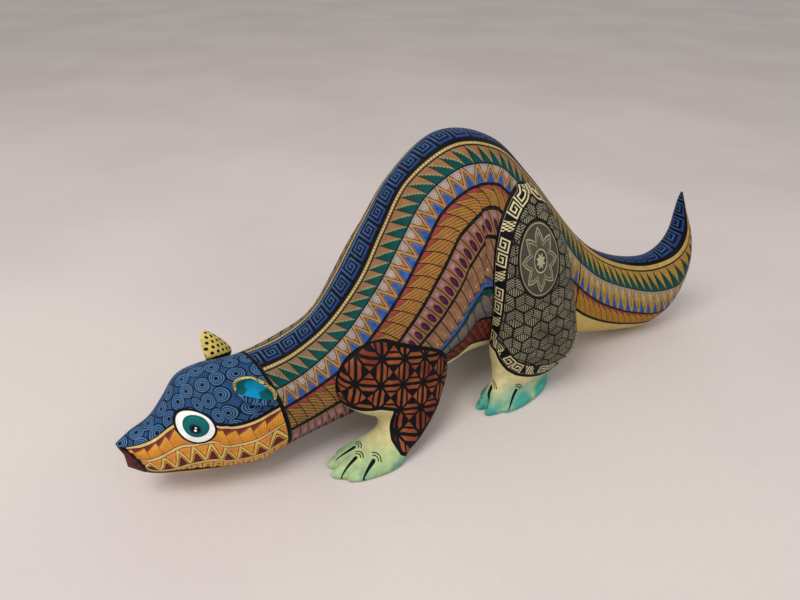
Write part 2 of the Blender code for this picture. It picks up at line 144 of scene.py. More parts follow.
# Left ear: seat, axis and lengthways direction, before the mirroring for the right one
EAR_SEAT = (-147.9, -37.3, 65.0)
EAR_AXIS = (0.18, -0.5, 0.85)
EAR_ALONG = (0.885, -0.296, -0.364)
EAR_SWEEP = 0.34             # how far the ear leans forward above its base
EAR_BASE = 0.4
HEAD_TURN = 14.0             # the head's plane of symmetry
HEAD_MIDDLE = (-151.0, -12.5)
EAR_SIDES = 20
SOCKET_SIDES = 32
# Rows of the ear: height, half length, half width of the back wall, then of the front wall
EAR = [
    (-PEG_L, PEG_R - 0.5, PEG_R - 0.5, -PEG_L, 0.5 - PEG_R, PEG_R - 0.5),
    (0.6 - PEG_L, PEG_R, PEG_R, 0.6 - PEG_L, -PEG_R, PEG_R),
    (0.3, PEG_R, PEG_R, 0.3, -PEG_R, PEG_R),
    (EAR_BASE, 5.5, 7.6, EAR_BASE, -5.5, 7.6),
    (1.6, 7, 10.4, 1.6, -6, 10.4),
    (3.4, 8, 12.8, 3.2, -5.6, 12),
    (5, 8.4, 14.1, 4.2, -4.2, 12),
    (6.4, 8.4, 14.4, 4, -2.6, 11.4),
    (7.6, 8.2, 14.3, 2.6, 3.6, 10.6),
    (11, 7, 13.2, 9.4, 5.2, 11.6),
    (14.8, 5.4, 10.7, 13.8, 3.7, 9.2),
    (18.5, 3.6, 7.1, 17.7, 2.2, 5.9),
    (21.6, 1.8, 3, 21.1, 0.7, 2.1),
]
EAR_TIP = 0.5
LIP_ROWS = (3, 7)            # rows of the front wall that are the outside of the lip
SEAT_ROWS = slice(3, 9)      # rows of the ear that the seat follows, and where it ends
SEAT_TOP = 16.0
SOCKET_OPEN = 2.5
EYE_U = 3.25                 # station and depth of the eyes, radius and height of the mound
EYE_T = 0.26
EYE_R = 13.0
EYE_H = 1.5
EYE_AHEAD = 0.2              # stations to the point that gives an eye's direction

# ---------------- where the paint runs
# Trunk and tail: station, middle of the key pattern, then how far down the left side each
# band ends: key pattern, beads, steps, zigzag, feathers, petals, columns, shields, lattice.
BAND_ROWS = [
    (6, 4.3, 12.8, 15.8, 29, 42.5, 60.5, 95, 96.8, 97.2, 97.6),
    (7, 4.3, 12.8, 15.8, 29, 42.5, 60.5, 97, 98.8, 99.2, 99.6),
    (8, 5.5, 13.5, 16.5, 28.5, 41.5, 60.5, 100, 102, 102.4, 102.8),
    (9, 1.3, 10.6, 13.6, 25, 39.5, 60, 91, 100, 103, 106),
    (10, 2.2, 12.6, 15.6, 26.3, 41.5, 60.5, 80, 101, 112, 122),
    (11, -0.6, 9.2, 12.2, 25, 40.5, 60, 84, 112, 124, 138),
    (12, -1.6, 7.9, 10.9, 25, 39.8, 59.5, 83.5, 118, 142, 160),
    (13, 2, 14.5, 17.5, 31, 45.5, 62.5, 81.5, 119, 144, 168),
    (14, 2, 15.5, 18.5, 30, 42.5, 57.5, 77, 115, 141, 165),
    (15, 0, 12.5, 15.5, 29, 43, 58, 78, 105, 125, 142),
    (16, 0, 10.5, 14, 29.5, 46, 63, 79, 98, 110, 118),
    (17, 0, 9.8, 14.8, 30.5, 49, 68, 80, 90, 97, 103),
    (18, 0, 9.6, 14.6, 30.5, 52, 70, 78, 84, 88, 92),
    (19, 0, 9.8, 14.8, 30.5, 54.7, 70, 76, 80, 84, 86),
    (20, 0, 10.3, 15, 33, 58, 71, 76, 78, 80, 82),
    (21, 0, 10.6, 15.2, 36, 60, 70, 73, 74, 75, 76),
    (22, 0, 13.3, 17.5, 41, 54, 59, 60, 61, 62, 63),
    (23, 0, 14, 18.5, 36, 43, 46, 47, 47.5, 48, 48.5),
    (24, 0, 12.5, 15.5, 26, 30, 31.5, 32, 32.4, 32.8, 33),
    (25, 0, 7, 8.5, 13, 15, 15.7, 16, 16.2, 16.4, 16.6),
    (26, 0, 1.4, 1.7, 2.6, 3, 3.1, 3.2, 3.3, 3.4, 3.5),
]
# Bands below the key pattern: name, columns of faces, thickness of the black line under it
BANDS = [("beads", 2, 0.7), ("steps", 6, 1.0), ("zigzag", 8, 2.0), ("feathers", 8, 2.8),
         ("petals", 8, 3.0), ("columns", 10, 2.2), ("shields", 8, 2.4), ("lattice", 6, 3.0)]
LOW_LINE = 5                 # lines from this one on pinch out toward the neck
PINCH = (8.6, 10.4, 0.08)    # stations where they start and are full, and what is left
FULL_GIRTH = 80.0            # half girth below which all the lines get thinner
BELLY_LEFT = 0.5             # least half width of the belly, and least width of a band
BAND_LEFT = 0.05
TAIL_BANDS = 4               # the tail carries only the first of them
KEY_COLUMNS, BELLY_COLUMNS = 16, 24
# length and width that one tile of each band is drawn for
TILE = {"key": (13.0, 19.5), "beads": (2.1, 3.0), "steps": (8.3, 11.5), "zigzag": (9.3, 14.0),
        "feathers": (8.6, 16.5), "petals": (6.8, 20.0), "columns": (7.6, 28.0),
        "shields": (8.6, 22.0), "lattice": (12.0, 20.0), "flame": (7.6, 12.5),
        "spirals": (9.5, 14.0), "jaw": (6.4, 9.0)}
LEANING = ("feathers", "petals", "columns", "shields")
LEAN = (8.3, 10.3, 0.42)     # the tiles start to lean, lean fully, and by how much

# Head: how far down the side each painted edge runs, for each half station: lower edge of
# the blue, thickness of the line there, second and third yellow lines, mouth line.
HEAD_ROWS = [
    (0, 2.5, 0.3, 11, 14, 17),
    (0.5, 6, 0.5, 16, 22.3, 24.6),
    (1, 9, 0.5, 20, 28.6, 31),
    (1.5, 10.8, 0.5, 22, 33, 35.6),
    (2, 12, 0.6, 23.5, 37.4, 40.6),
    (2.5, 13.5, 0.9, 27, 42, 47.4),
    (3, 16, 1.6, 35, 49, 56),
    (3.5, 20, 2, 43.5, 58.5, 68),
    (4, 28.5, 2.2, 50.5, 65, 76),
    (4.5, 36.5, 2.2, 54.5, 68.5, 80),
    (5, 39.5, 2.2, 55.8, 70, 81.5),
    (5.5, 40.6, 2.2, 56, 70, 82),
    (6, 40.8, 2.2, 55.5, 69.5, 82),
    (6.5, 40, 2.2, 54, 68.5, 81),
    (7, 38.7, 2.2, 52.5, 67.5, 80),
    (7.5, 38, 2.2, 52, 67, 80),
]
YELLOW_LINE = 1.7            # widths of the head's painted lines
THIN_LINE = 0.45
MOUTH_LINE = 2.8
COLLAR_LINE = 0.075          # stations of black paint on each side of the collar seam
NOSE_END = 0.15              # stations to the nose's edge under the blue, how much further
NOSE_SLANT = 0.42            # back it runs at the mouth, and its black line
NOSE_LINE = 0.24
SWIRL = 10.6                 # distance between the swirls on the blue

# Legs: outline of the painted panel below the body, as (round the leg, height), from the
# front edge down, along and up to the rear edge.
FRONT_PANEL = [(-52, 46), (-37.5, 42.5), (-25, 41.5), (-16, 37.5), (-17, 31), (-20, 23),
               (-21.5, 17), (-19.5, 10), (-14, 5.5), (-6, 4.5), (4, 8), (16, 12), (34, 20),
               (52, 30)]
HIND_PANEL = [(-25, 46), (-19, 38.5), (-13, 32.5), (-5.8, 28), (5, 24), (17, 20.5), (30, 19),
              (44, 24), (52, 36), (56, 46)]
TOP_REACH = 8.0              # how far the front panel runs on above the last free section
TOP_DEPTH = 1.4              # depth in the panel per distance outside the body
SECTION_REACH = 75.0         # farthest that a panel runs round a section
OUTLINE_REACH = 4            # neighbours on each side that an outline is smoothed over
TOP_LINE = 60.0              # above this height its black edge follows the body
RIM_LOW = {"front": 44.0, "hind": 46.0}      # below this height the panel has its own outline
# Thick and thin end of each claw, from above on the front paw and from the side on the hind
FRONT_CLAWS = (((-42, -41), (-55, -39)), ((-46, -49), (-59, -51)), ((-38, -58), (-49, -61)))
HIND_CLAWS = (((-36, 15), (-44, 5)), ((-25, 16), (-33, 5)), ((-5, 14), (-15, 3)))
CLAW_ARCS = (3.3, 5.0)       # radii of the arcs behind a claw
PAW_TOP = 30.0               # no claw mark above this height
LATTICE = 17.0               # cell of the front leg's pattern, and how far it is turned
LATTICE_TURN = math.radians(-17)
BORDER = 10.2                # width of the haunch's border, and length of its repeat
BORDER_TILE = 37.5
HEX = 13.5                   # distance between the stars on the haunch
MEDAL = (5.0, 118.0, 16.5, 26.0)             # middle and half axes of the oval

# ---------------- paints (linear colour)
BLACK = (0.004, 0.004, 0.006)
STEEL = (0.05, 0.12, 0.32)
COBALT = (0.018, 0.065, 0.26)
SKY = (0.075, 0.18, 0.42)
GOLD = (0.56, 0.35, 0.11)
PALE_GOLD = (0.78, 0.64, 0.3)
UMBER = (0.03, 0.014, 0.008)
GREEN = (0.008, 0.07, 0.05)
TEAL = (0.006, 0.11, 0.105)
MINT = (0.33, 0.52, 0.35)
LILAC = (0.36, 0.31, 0.31)
CHALK = (0.62, 0.59, 0.56)
OCHRE = (0.41, 0.185, 0.075)
ROSE = (0.33, 0.06, 0.06)
PINK = (0.56, 0.29, 0.46)
PLUM = (0.085, 0.015, 0.07)
MAROON = (0.12, 0.015, 0.022)
ORANGE = (0.56, 0.15, 0.018)
YELLOW = (0.64, 0.33, 0.045)
CREAM = (0.64, 0.56, 0.32)
RUST = (0.3, 0.082, 0.026)
RUST_DARK = (0.17, 0.032, 0.016)
OLIVE = (0.036, 0.034, 0.025)
STONE = (0.37, 0.34, 0.225)
TURQUOISE = (0.004, 0.13, 0.15)
CYAN = (0.006, 0.36, 0.62)
WHITE = (0.84, 0.86, 0.87)
PAW_GREEN = (0.36, 0.56, 0.29)
PAW_TEAL = (0.04, 0.33, 0.29)
BIRCH = (0.56, 0.4, 0.23)
BIRCH_DARK = (0.33, 0.2, 0.095)
VARNISH = 0.09               # how strongly the paint mirrors
# ground colour of the bands at the neck, on the hump and on the tail
GROUND = ((0.33, 0.215, 0.14), (0.44, 0.235, 0.12), (0.56, 0.36, 0.105))


# ---------------- node arithmetic
class Num:
    """A number in a material's node graph; arithmetic on it adds math nodes."""

    def __init__(self, tree, socket):
        self.tree = tree
        self.socket = socket

    def op(self, kind, *values, clamp=False):
        """Math node over the given values; numbers and Nums may be mixed."""
        node = self.tree.nodes.new("ShaderNodeMath")
        node.operation = kind
        node.use_clamp = clamp
        for slot, value in zip(node.inputs, values):
            if isinstance(value, Num):
                self.tree.links.new(value.socket, slot)
            else:
                slot.default_value = value
        return Num(self.tree, node.outputs[0])

    def __neg__(self):
        return self * -1.0

    def near(self, middle, half):
        """Distance to a strip on both sides of a value."""
        return abs(self - middle) - half

    def cover(self, soft=0.3):
        """1 where this distance is below zero, 0 above, with a painted edge between."""
        return self.op("MULTIPLY_ADD", self, -1.0 / soft, 0.5, clamp=True)


def add_method(word, kind, swapped=False):
    """Gives Num a method that adds one math node."""
    def method(self, other=0.0):
        return self.op(kind, other, self) if swapped else self.op(kind, self, other)
    setattr(Num, word, method)


for word, kind in (("add", "ADD"), ("sub", "SUBTRACT"), ("mul", "MULTIPLY"),
                   ("truediv", "DIVIDE")):
    add_method("__%s__" % word, kind)
    add_method("__r%s__" % word, kind, swapped=True)
for word, kind in (("__abs__", "ABSOLUTE"), ("fract", "FRACT"), ("floor", "FLOOR"),
                   ("sin", "SINE"), ("root", "SQRT"), ("low", "MINIMUM"),
                   ("high", "MAXIMUM"), ("below", "LESS_THAN")):
    add_method(word, kind)


def length(x, y):
    return (x * x + y * y).root()


def angle(x, y):
    """Angle of a point in turns."""
    return x.op("ARCTAN2", y, x) / (2 * math.pi)


def patch(x, y, x0, y0, x1, y1):
    """Distance to a rectangle with these corners."""
    across = abs(x - (x0 + x1) / 2) - (x1 - x0) / 2
    down = abs(y - (y0 + y1) / 2) - (y1 - y0) / 2
    return across.high(down)


def disc(x, y, cx, cy, radius, stretch=1.0):
    """Distance to a round spot, or to an oval stretched in y."""
    return length(x - cx, (y - cy) / stretch) - radius


def between(value, low, high):
    """0 below low, 1 above high."""
    step = 1.0 / (high - low)
    return value.op("MULTIPLY_ADD", value, step, -low * step, clamp=True)


class Paint:
    """A material under construction: its colour is built up in layers."""

    def __init__(self, name, colour=BLACK):
        self.material = bpy.data.materials.new(name)
        self.material.use_nodes = True
        self.tree = self.material.node_tree
        self.shader = self.tree.nodes["Principled BSDF"]
        self.colour = colour
        self.coordinates = {}

    def feed(self, slot, value):
        """Sets an input to a plain value, or links it to a Num or a node's output."""
        if isinstance(value, (Num, bpy.types.NodeSocket)):
            self.tree.links.new(getattr(value, "socket", value), slot)
        elif slot.type == "RGBA":
            slot.default_value = (*value, 1.0)
        else:
            slot.default_value = value

    def node(self, kind, inputs=(), **settings):
        """New node with these settings and inputs."""
        node = self.tree.nodes.new(kind)
        for key, value in settings.items():
            setattr(node, key, value)
        for key, value in dict(inputs).items():
            self.feed(node.inputs[key], value)
        return node

    def plane(self, layer):
        """The two coordinates of a named map of the mesh."""
        if layer not in self.coordinates:
            source = self.node("ShaderNodeUVMap", uv_map=layer)
            split = self.node("ShaderNodeSeparateXYZ", {0: source.outputs[0]})
            self.coordinates[layer] = [Num(self.tree, split.outputs[k]) for k in (0, 1)]
        return self.coordinates[layer]

    def measured(self, layer):
        """The two coordinates of a map, in millimetres."""
        return [value * MAP for value in self.plane(layer)]

    def tile(self, kind):
        """Place within one tile of a band, in millimetres."""
        along, across = self.plane("tile")
        return along.fract() * TILE[kind][0], across * TILE[kind][1]

    def blend(self, below, above, mask):
        """Colour made of one colour over another."""
        inputs = {0: mask, 6: below, 7: above}
        return self.node("ShaderNodeMix", inputs, data_type="RGBA").outputs[2]

    def coat(self, colour, mask):
        """One more layer of paint."""
        self.colour = self.blend(self.colour, colour, mask)

    def fill(self, colour, distance, soft=0.3, strength=1.0):
        """Paint where a distance is below zero."""
        self.coat(colour, distance.cover(soft) * strength)

    def noise(self, scale, detail=3.0, distortion=0.0, stretch=None):
        """Noise fixed to the carving, 0 to 1, with features of about 1/scale metres."""
        where = self.node("ShaderNodeTexCoord").outputs["Object"]
        if stretch:
            where = self.node("ShaderNodeMapping", {"Vector": where, "Scale": stretch}).outputs[0]
        inputs = {"Vector": where, "Scale": scale, "Detail": detail, "Distortion": distortion}
        return Num(self.tree, self.node("ShaderNodeTexNoise", inputs).outputs[0])

    def mixed(self, low_colour, high_colour, scale, low, high):
        """Two colours mixed by noise."""
        return self.blend(low_colour, high_colour, between(self.noise(scale), low, high))

    def specks(self, colour, scale, low, high, strength=1.0):
        """Patches of another colour, where the noise is above low."""
        self.coat(colour, between(self.noise(scale), low, high) * strength)

    def seams(self, x, kind, half, soft, colour):
        """Line between neighbouring tiles."""
        self.fill(colour, x.low(TILE[kind][0] - x) - half, soft)

    def ground(self):
        """The warm ground of the bands, which changes from the neck to the tail."""
        station, _ = self.plane("place")
        front = self.blend(GROUND[0], GROUND[1], between(station, 8.0, 11.5))
        return self.blend(front, GROUND[2], between(station, 13.5, 17.5))

    def finish(self, rough=0.55, relief=0.05, mottle=0.22, grain=True, tone=1.0, vivid=1.0):
        """Uneven paint, satin varnish and slight brush relief."""
        patchy = self.noise(160.0)
        fine = self.noise(900.0, detail=2.0)
        mixed = between(patchy * 0.65 + fine * 0.35, 0.3, 0.72)
        shade = mixed * (2 * mottle * tone) + (1 - mottle) * tone
        height = fine * 0.4 + patchy * 0.4
        if grain:
            height = height + self.noise(45.0, 4.0, 0.4, (1.0, 7.0, 7.0)) * 1.4
        adjust = self.node("ShaderNodeHueSaturation",
                           {"Color": self.colour, "Saturation": vivid, "Value": shade})
        bump = self.node("ShaderNodeBump",
                         {"Strength": 0.35, "Distance": relief * MM, "Height": height})
        inputs = {"Base Color": adjust.outputs[0], "Normal": bump.outputs[0],
                  "Roughness": fine * 0.1 + patchy * 0.08 + (rough - 0.09),
                  "Specular IOR Level": VARNISH}
        for key, value in inputs.items():
            self.feed(self.shader.inputs[key], value)
        return self.material


# ---------------- paints of the long body
def plain_paint(name, colour, specks=(), eye=False, **finish):
    """Paint with patches of other colours, and the eye where it runs over it."""
    paint = Paint(name, colour)
    for patches in specks:
        paint.specks(*patches)
    if eye:
        add_eye(paint)
    return paint.finish(**finish)


def paint_belly(name="belly", colour=CREAM):
    specks = (((0.56, 0.42, 0.2), 28, 0.45, 0.75, 0.7), ((0.7, 0.66, 0.48), 60, 0.55, 0.8, 0.6))
    return plain_paint(name, colour, specks, mottle=0.12)


def paint_key():
    """Square spirals that hang from a running line, blue on black."""
    paint = Paint("key_pattern")
    x, y = paint.tile("key")
    x = x + (y - 10) * 0.09
    strokes = [
        (0.3, 3, 1.5, 16.4),
        (10.1, 4.9, 11.3, 16.4), (3, 4.9, 11.3, 6.1), (3, 4.9, 4.1, 13),
        (3, 11.8, 8.9, 13), (7.8, 7.5, 8.9, 13), (5.4, 7.5, 8.9, 8.6),
        (5.4, 7.5, 6.5, 10.6),
    ]
    foot = patch(x, y, 0.3, 14.6, 11.3, 16.4)
    lines = patch(x, y, -9, 1, 29, 3.1)
    for stroke in strokes:
        lines = lines.low(patch(x, y, *stroke))
    hand = paint.noise(380) * 0.5 - 0.25
    blue = paint.mixed(SKY, STEEL, 220, 0.35, 0.65)
    blue = paint.blend(blue, COBALT, between(y, 6, 16) * 0.6)
    paint.fill(blue, lines + hand, 0.45)
    paint.fill(COBALT, foot + hand, 0.45)
    return paint.finish(rough=0.5, tone=0.62)


def paint_beads():
    """String of pale dots, which turns into a plain yellow line on the tail."""
    paint = Paint("beads", UMBER)
    station, _ = paint.plane("place")
    x, y = paint.tile("beads")
    tail = between(station, 14.8, 16.2)
    paint.fill(GOLD, y.near(1.5, 1.25))
    paint.coat(UMBER, disc(x, y, 1.05, 1.5, 1.1, 1.1).cover() * 0.55 * (1 - tail))
    paint.coat(PALE_GOLD, disc(x, y, 1.05, 1.5, 0.78, 1.15).cover() * (1 - tail))
    paint.coat((0.62, 0.42, 0.12), tail * y.near(1.5, 1.3).cover(0.2))
    return paint.finish(relief=0.12, tone=0.62)


def paint_steps():
    """Slanted cells: a stepped dark green triangle under the warm ground."""
    paint = Paint("green_steps")
    paint.colour = paint.ground()
    pitch, width = TILE["steps"]
    along, across = paint.plane("tile")
    slanted = (along - across * 0.33).fract()
    x, y = slanted * pitch, across * width
    paint.specks(OCHRE, 300, 0.45, 0.7, 0.5)
    stair = ((across * 8).floor() / 8 + 0.02) * pitch
    inside = (x - stair).high(1.2 - y)
    hand = paint.noise(500) * 0.8 - 0.4
    speck = between((x * 3 + y * 1).sin() * (y * 3.4 - x).sin(), 0.15, 0.5)
    edge = inside.near(0.55, 0.75).cover(0.4) * (0.35 + speck * 0.65)
    station, _ = paint.plane("place")
    paint.coat(MINT, edge * (1 - between(station, 14, 17) * 0.8))
    green = paint.blend(GREEN, TEAL, between(y + hand * 3, 4, 10.5))
    paint.fill(green, inside + hand * 0.3, 0.35)
    paint.seams(x, "steps", 0.3, 0.3, UMBER)
    paint.fill(UMBER, y - 0.25)
    return paint.finish(tone=0.55, vivid=1.1)


def coil(x, y, radius, turn):
    """Line of a round spiral: 1 on the line."""
    away = length(x, y)
    winding = (away / turn - angle(x, y)).fract()
    return winding.near(0.5, 0.17).cover(0.14) * (away - radius).cover()


def zigzag(paint, kind, upper, spiral, lower, stripe):
    """Zigzag line between hanging triangles with spirals and standing triangles."""
    x, y = paint.tile(kind)
    pitch, width = TILE[kind]
    fold = abs(x - pitch / 2)
    side = (y - fold * (2 * width / pitch)) / math.hypot(1, 2 * width / pitch)
    middle = pitch / 2 - fold
    hanging = (side + 1.1).cover(0.2)
    shade = between(y + paint.noise(260) * 4, 3, 9)
    paint.coat(upper, hanging * (1 - shade))
    paint.coat(spiral, coil(middle, y - 3.6, 2.7, 1.25) * hanging)
    standing = (1.55 - side).high(width * 0.44 - y)
    paint.fill(lower, standing)
    paint.fill(UMBER, side.near(0, 1.15), 0.2)
    paint.fill(stripe, side.near(0, 0.72), 0.2)


def paint_zigzag():
    paint = Paint("zigzag")
    paint.colour = paint.ground()
    station, _ = paint.plane("place")
    blue = paint.mixed((0.09, 0.19, 0.52), (0.04, 0.09, 0.35), 300, 0.35, 0.7)
    stripe = paint.blend((0.48, 0.3, 0.15), (0.62, 0.4, 0.11), between(station, 13.5, 17))
    zigzag(paint, "zigzag", LILAC, CHALK, blue, stripe)
    return paint.finish(tone=0.68, vivid=1.1)


def paint_feathers():
    """Curved ochre scales with gold veins and a red upper corner."""
    paint = Paint("feathers")
    pitch, width = TILE["feathers"]
    along, across = paint.plane("tile")
    station, _ = paint.plane("place")
    on_tail = between(station, 14.5, 17)
    bend = across * (across * -0.35 + 0.75) * (1 - on_tail)
    x, y = (along - bend).fract() * pitch, across * width
    warm = paint.blend((0.23, 0.13, 0.065), OCHRE, between(station, 7.5, 10.5))
    warm = paint.blend(warm, (0.56, 0.27, 0.06), on_tail)
    paint.colour = warm
    vein = ((y * 2.3 - x * 1.5) + paint.noise(130) * 9).sin()
    paint.coat(GOLD, between(vein, 0.2, 0.8) * 0.75)
    paint.coat((0.15, 0.062, 0.02), between(-vein, 0.55, 0.95) * 0.6)
    corner = y - x * 0.62 + 0.4
    feather = corner.cover(0.8)
    paint.coat(ROSE, feather)
    paint.coat((0.56, 0.2, 0.17), feather * between((x * 4 - y * 5).sin(), 0.3, 0.8) * 0.7)
    paint.fill(UMBER, corner.near(0, 0.22), 0.3, 0.8)
    paint.seams(x, "feathers", 0.33, 0.3, BLACK)
    return paint.finish(tone=0.68, vivid=1.08)


def paint_petals():
    """Narrow columns, each with a lilac dot over a long plum petal."""
    paint = Paint("petals")
    paint.colour = paint.ground()
    x, y = paint.tile("petals")
    rose = paint.blend(GROUND[1], (0.42, 0.25, 0.21), between(y, 10, 2) * 0.7)
    paint.coat(rose, 0.5)
    streak = between((x * 5 + paint.noise(90) * 5).sin(), 0.5, 0.9)
    paint.coat((0.23, 0.12, 0.06), streak * 0.45)
    paint.fill(UMBER, disc(x, y, 3.4, 12.6, 1.95, 3.1))
    paint.fill(PLUM, disc(x, y, 3.4, 12.6, 1.65, 3.2))
    paint.fill((0.2, 0.06, 0.16), disc(x, y, 2.9, 11.5, 0.6, 4), 0.9, 0.5)
    paint.fill(PINK, disc(x, y, 3.4, 3.9, 1.55, 1.15), 0.5)
    paint.seams(x, "petals", 0.32, 0.25, UMBER)
    return paint.finish(tone=0.62, vivid=1.08)


def paint_columns():
    """Brown columns with a white dot, cut off aslant over blue."""
    paint = Paint("brown_columns")
    x, y = paint.tile("columns")
    paint.colour = (0.33, 0.165, 0.09)
    paint.specks((0.43, 0.23, 0.12), 210, 0.4, 0.65)
    paint.specks((0.18, 0.085, 0.04), 700, 0.58, 0.7, 0.8)
    end = y - 20.5 - x * 0.8
    paint.fill(GOLD, disc(x, y, 3.8, 13, 0.5, 5), 0.4, 0.35)
    paint.fill(CHALK, disc(x, y, 3.9, 17.5, 0.85), 0.35)
    paint.seams(x, "columns", 0.34, 0.25, BLACK)
    paint.coat(paint.blend(COBALT, (0.07, 0.17, 0.48), between(y, 21, 27)),
               (-end).cover(0.4))
    paint.fill(BLACK, end.near(0, 0.3), 0.25)
    return paint.finish(tone=0.7)


def paint_shields():
    """Mauve-grey shields with black outlines on teal."""
    paint = Paint("shields", TEAL)
    x, y = paint.tile("shields")
    middle = abs(x - TILE["shields"][0] / 2)
    shield = (middle - 3.95).high(middle * 0.8 + (3 - y)).high(y + middle * 0.7 - 19.5)
    paint.specks((0.004, 0.06, 0.065), 300, 0.45, 0.6)
    mauve = paint.blend((0.25, 0.16, 0.13), (0.16, 0.15, 0.15), between(y, 4, 16))
    paint.fill(mauve, 11.5 - y, 0.4, 0.75)
    seam = (TILE["shields"][0] / 2 - middle - 0.38).cover(0.25)
    paint.coat(BLACK, seam * (11 - y).cover())
    paint.fill(BLACK, shield - 0.45, 0.25)
    paint.fill(mauve, shield, 0.25)
    fibre = between((x * 4 + y * 2.2 + paint.noise(150) * 5).sin(), 0.3, 0.9)
    paint.coat((0.33, 0.23, 0.19), fibre * shield.cover() * 0.45)
    return paint.finish(tone=0.75)


def paint_lattice():
    """Dark red crossed by fine orange lines."""
    paint = Paint("red_lattice", MAROON)
    x, y = paint.tile("lattice")
    paint.specks((0.16, 0.03, 0.028), 240, 0.4, 0.65)
    for slope in (0.6, -0.6):
        wide = ((x + y * slope) / 6).fract()
        thin = ((x + y * slope) / 1.5).fract()
        paint.fill((0.24, 0.07, 0.035), thin.near(0.5, 0.12), 0.2, 0.35)
        paint.fill((0.5, 0.15, 0.04), wide.near(0.5, 0.04), 0.05, 0.6)
        paint.fill(BLACK, wide.low(1 - wide) - 0.05, 0.05)
    return paint.finish(tone=0.7)


# ---------------- paints of the head
def add_eye(paint):
    """Painted eye: black outline, white ring, ringed teal iris, pupil and two glints."""
    x, y = paint.measured("eye")
    x, y = x * 1.14 - 0.6, y + 0.7
    away = length(x, y)
    iris = disc(x, y, 0.9, 0.6, 0, 0.9)
    pupil = disc(x, y, -0.9, 0.2, 0)
    paint.fill(BLACK, away - 11.7)
    paint.fill(WHITE, away - 10.3)
    paint.fill((0.003, 0.09, 0.1), iris - 7.7)
    paint.fill((0.006, 0.15, 0.155), iris - 7.2 + paint.noise(200), 0.5)
    for radius, half in ((4.6, 0.3), (6, 0.25)):
        ring = (abs(pupil - radius) - half).cover() * (iris - 7).cover()
        paint.coat((0.004, 0.08, 0.095), ring)
    paint.fill((0.004, 0.055, 0.065), pupil - 3.7, 0.4)
    paint.fill(BLACK, pupil - 2.6)
    paint.fill(WHITE, disc(x, y, -1.6, -0.3, 0.75), 0.25)
    paint.fill(WHITE, disc(x, y, 0.1, 0.6, 0.55), 0.25)


def paint_swirls(name, layer, eye=False):
    """Round swirls side by side: a dark dot in black and light blue rings, on deep blue."""
    paint = Paint(name, (0.02, 0.07, 0.17))
    x, y = paint.measured(layer)
    paint.specks((0.014, 0.05, 0.15), 90, 0.4, 0.7)
    where = paint.node("ShaderNodeCombineXYZ", {0: x, 1: y}).outputs[0]
    inputs = {"Vector": where, "Scale": 1 / SWIRL, "Randomness": 0.26}
    cells = paint.node("ShaderNodeTexVoronoi", inputs, voronoi_dimensions="2D")
    away = Num(paint.tree, cells.outputs["Distance"]) * SWIRL + paint.noise(240) * 0.7 - 0.35
    inside = (away - 5.2).cover()
    paint.coat((0.028, 0.085, 0.21), inside)
    wave = (away / 1.3 + 0.25).fract()
    paint.coat((0.095, 0.22, 0.4), wave.near(0.5, 0.13).cover(0.2) * inside * 0.75)
    edge = wave.low(1 - wave)
    paint.coat(BLACK, (edge - 0.16).cover(0.14) * inside * 0.95)
    paint.fill(BLACK, away.near(5.25, 0.28), 0.25, 0.95)
    paint.fill(BLACK, away - 1.05, 0.4)
    if eye:
        add_eye(paint)
    return paint.finish(rough=0.5)


def paint_flame():
    """Yellow saw teeth with orange strokes under maroon gaps."""
    paint = Paint("flame_teeth", YELLOW)
    x, y = paint.tile("flame")
    paint.coat(ORANGE, between(y + paint.noise(200) * 6, 6, 13) * 0.5)
    stroke = between((x * 5.2 + y * 1 + paint.noise(150) * 2).sin(), 0.35, 0.8)
    paint.coat((0.33, 0.08, 0.02), stroke * 0.55)
    tooth = y - 0.6 - (TILE["flame"][0] - x) * 0.62
    paint.fill((0.3, 0.06, 0.05), tooth)
    paint.fill(MAROON, tooth + 1, 0.8, 0.8)
    paint.fill(UMBER, tooth.near(0, 0.14), 0.2)
    paint.fill(UMBER, x - 0.22, 0.2)
    add_eye(paint)
    return paint.finish()


def paint_spirals():
    """Orange spirals in hanging triangles, maroon triangles standing between them."""
    paint = Paint("orange_spirals", YELLOW)
    zigzag(paint, "spirals", (0.64, 0.26, 0.06), (0.56, 0.11, 0.025), MAROON, (0.64, 0.43, 0.12))
    add_eye(paint)
    return paint.finish()


def paint_jaw():
    """Thin strokes and red ovals along the jaw."""
    paint = Paint("jaw_strokes", YELLOW)
    x, y = paint.tile("jaw")
    paint.specks(GOLD, 240, 0.4, 0.7)
    paint.fill((0.42, 0.07, 0.02), disc(x, y, 3.4, 3.4, 1.3, 0.9))
    paint.fill((0.06, 0.012, 0.012), disc(x, y, 3.2, 9, 1.7, 1.6))
    paint.seams(x, "jaw", 0.24, 0.2, UMBER)
    return paint.finish()


# ---------------- paints of the legs
def claw_marks(paint, claws, layer):
    """Black claws, thick behind and thin at the toe, each with two arcs behind it."""
    x, y = paint.measured(layer)
    paw = (paint.measured("side")[1] - PAW_TOP).cover(1)
    for (ax, ay), (bx, by) in claws:
        dx, dy = bx - ax, by - ay
        size = math.hypot(dx, dy)
        px, py = x - ax, y - ay
        share = px.op("ADD", px * (dx / size ** 2), py * (dy / size ** 2), clamp=True)
        away = length(px - share * dx, py - share * dy)
        paint.coat(BLACK, (away + share * 1.05 - 1.35).cover() * paw)
        behind = px * (-dx / size) + py * (-dy / size)
        reach = length(px, py)
        for radius in CLAW_ARCS:
            arc = reach.near(radius, 0.38).high(reach * 0.62 - behind)
            paint.coat(BLACK, arc.cover(0.25) * paw)


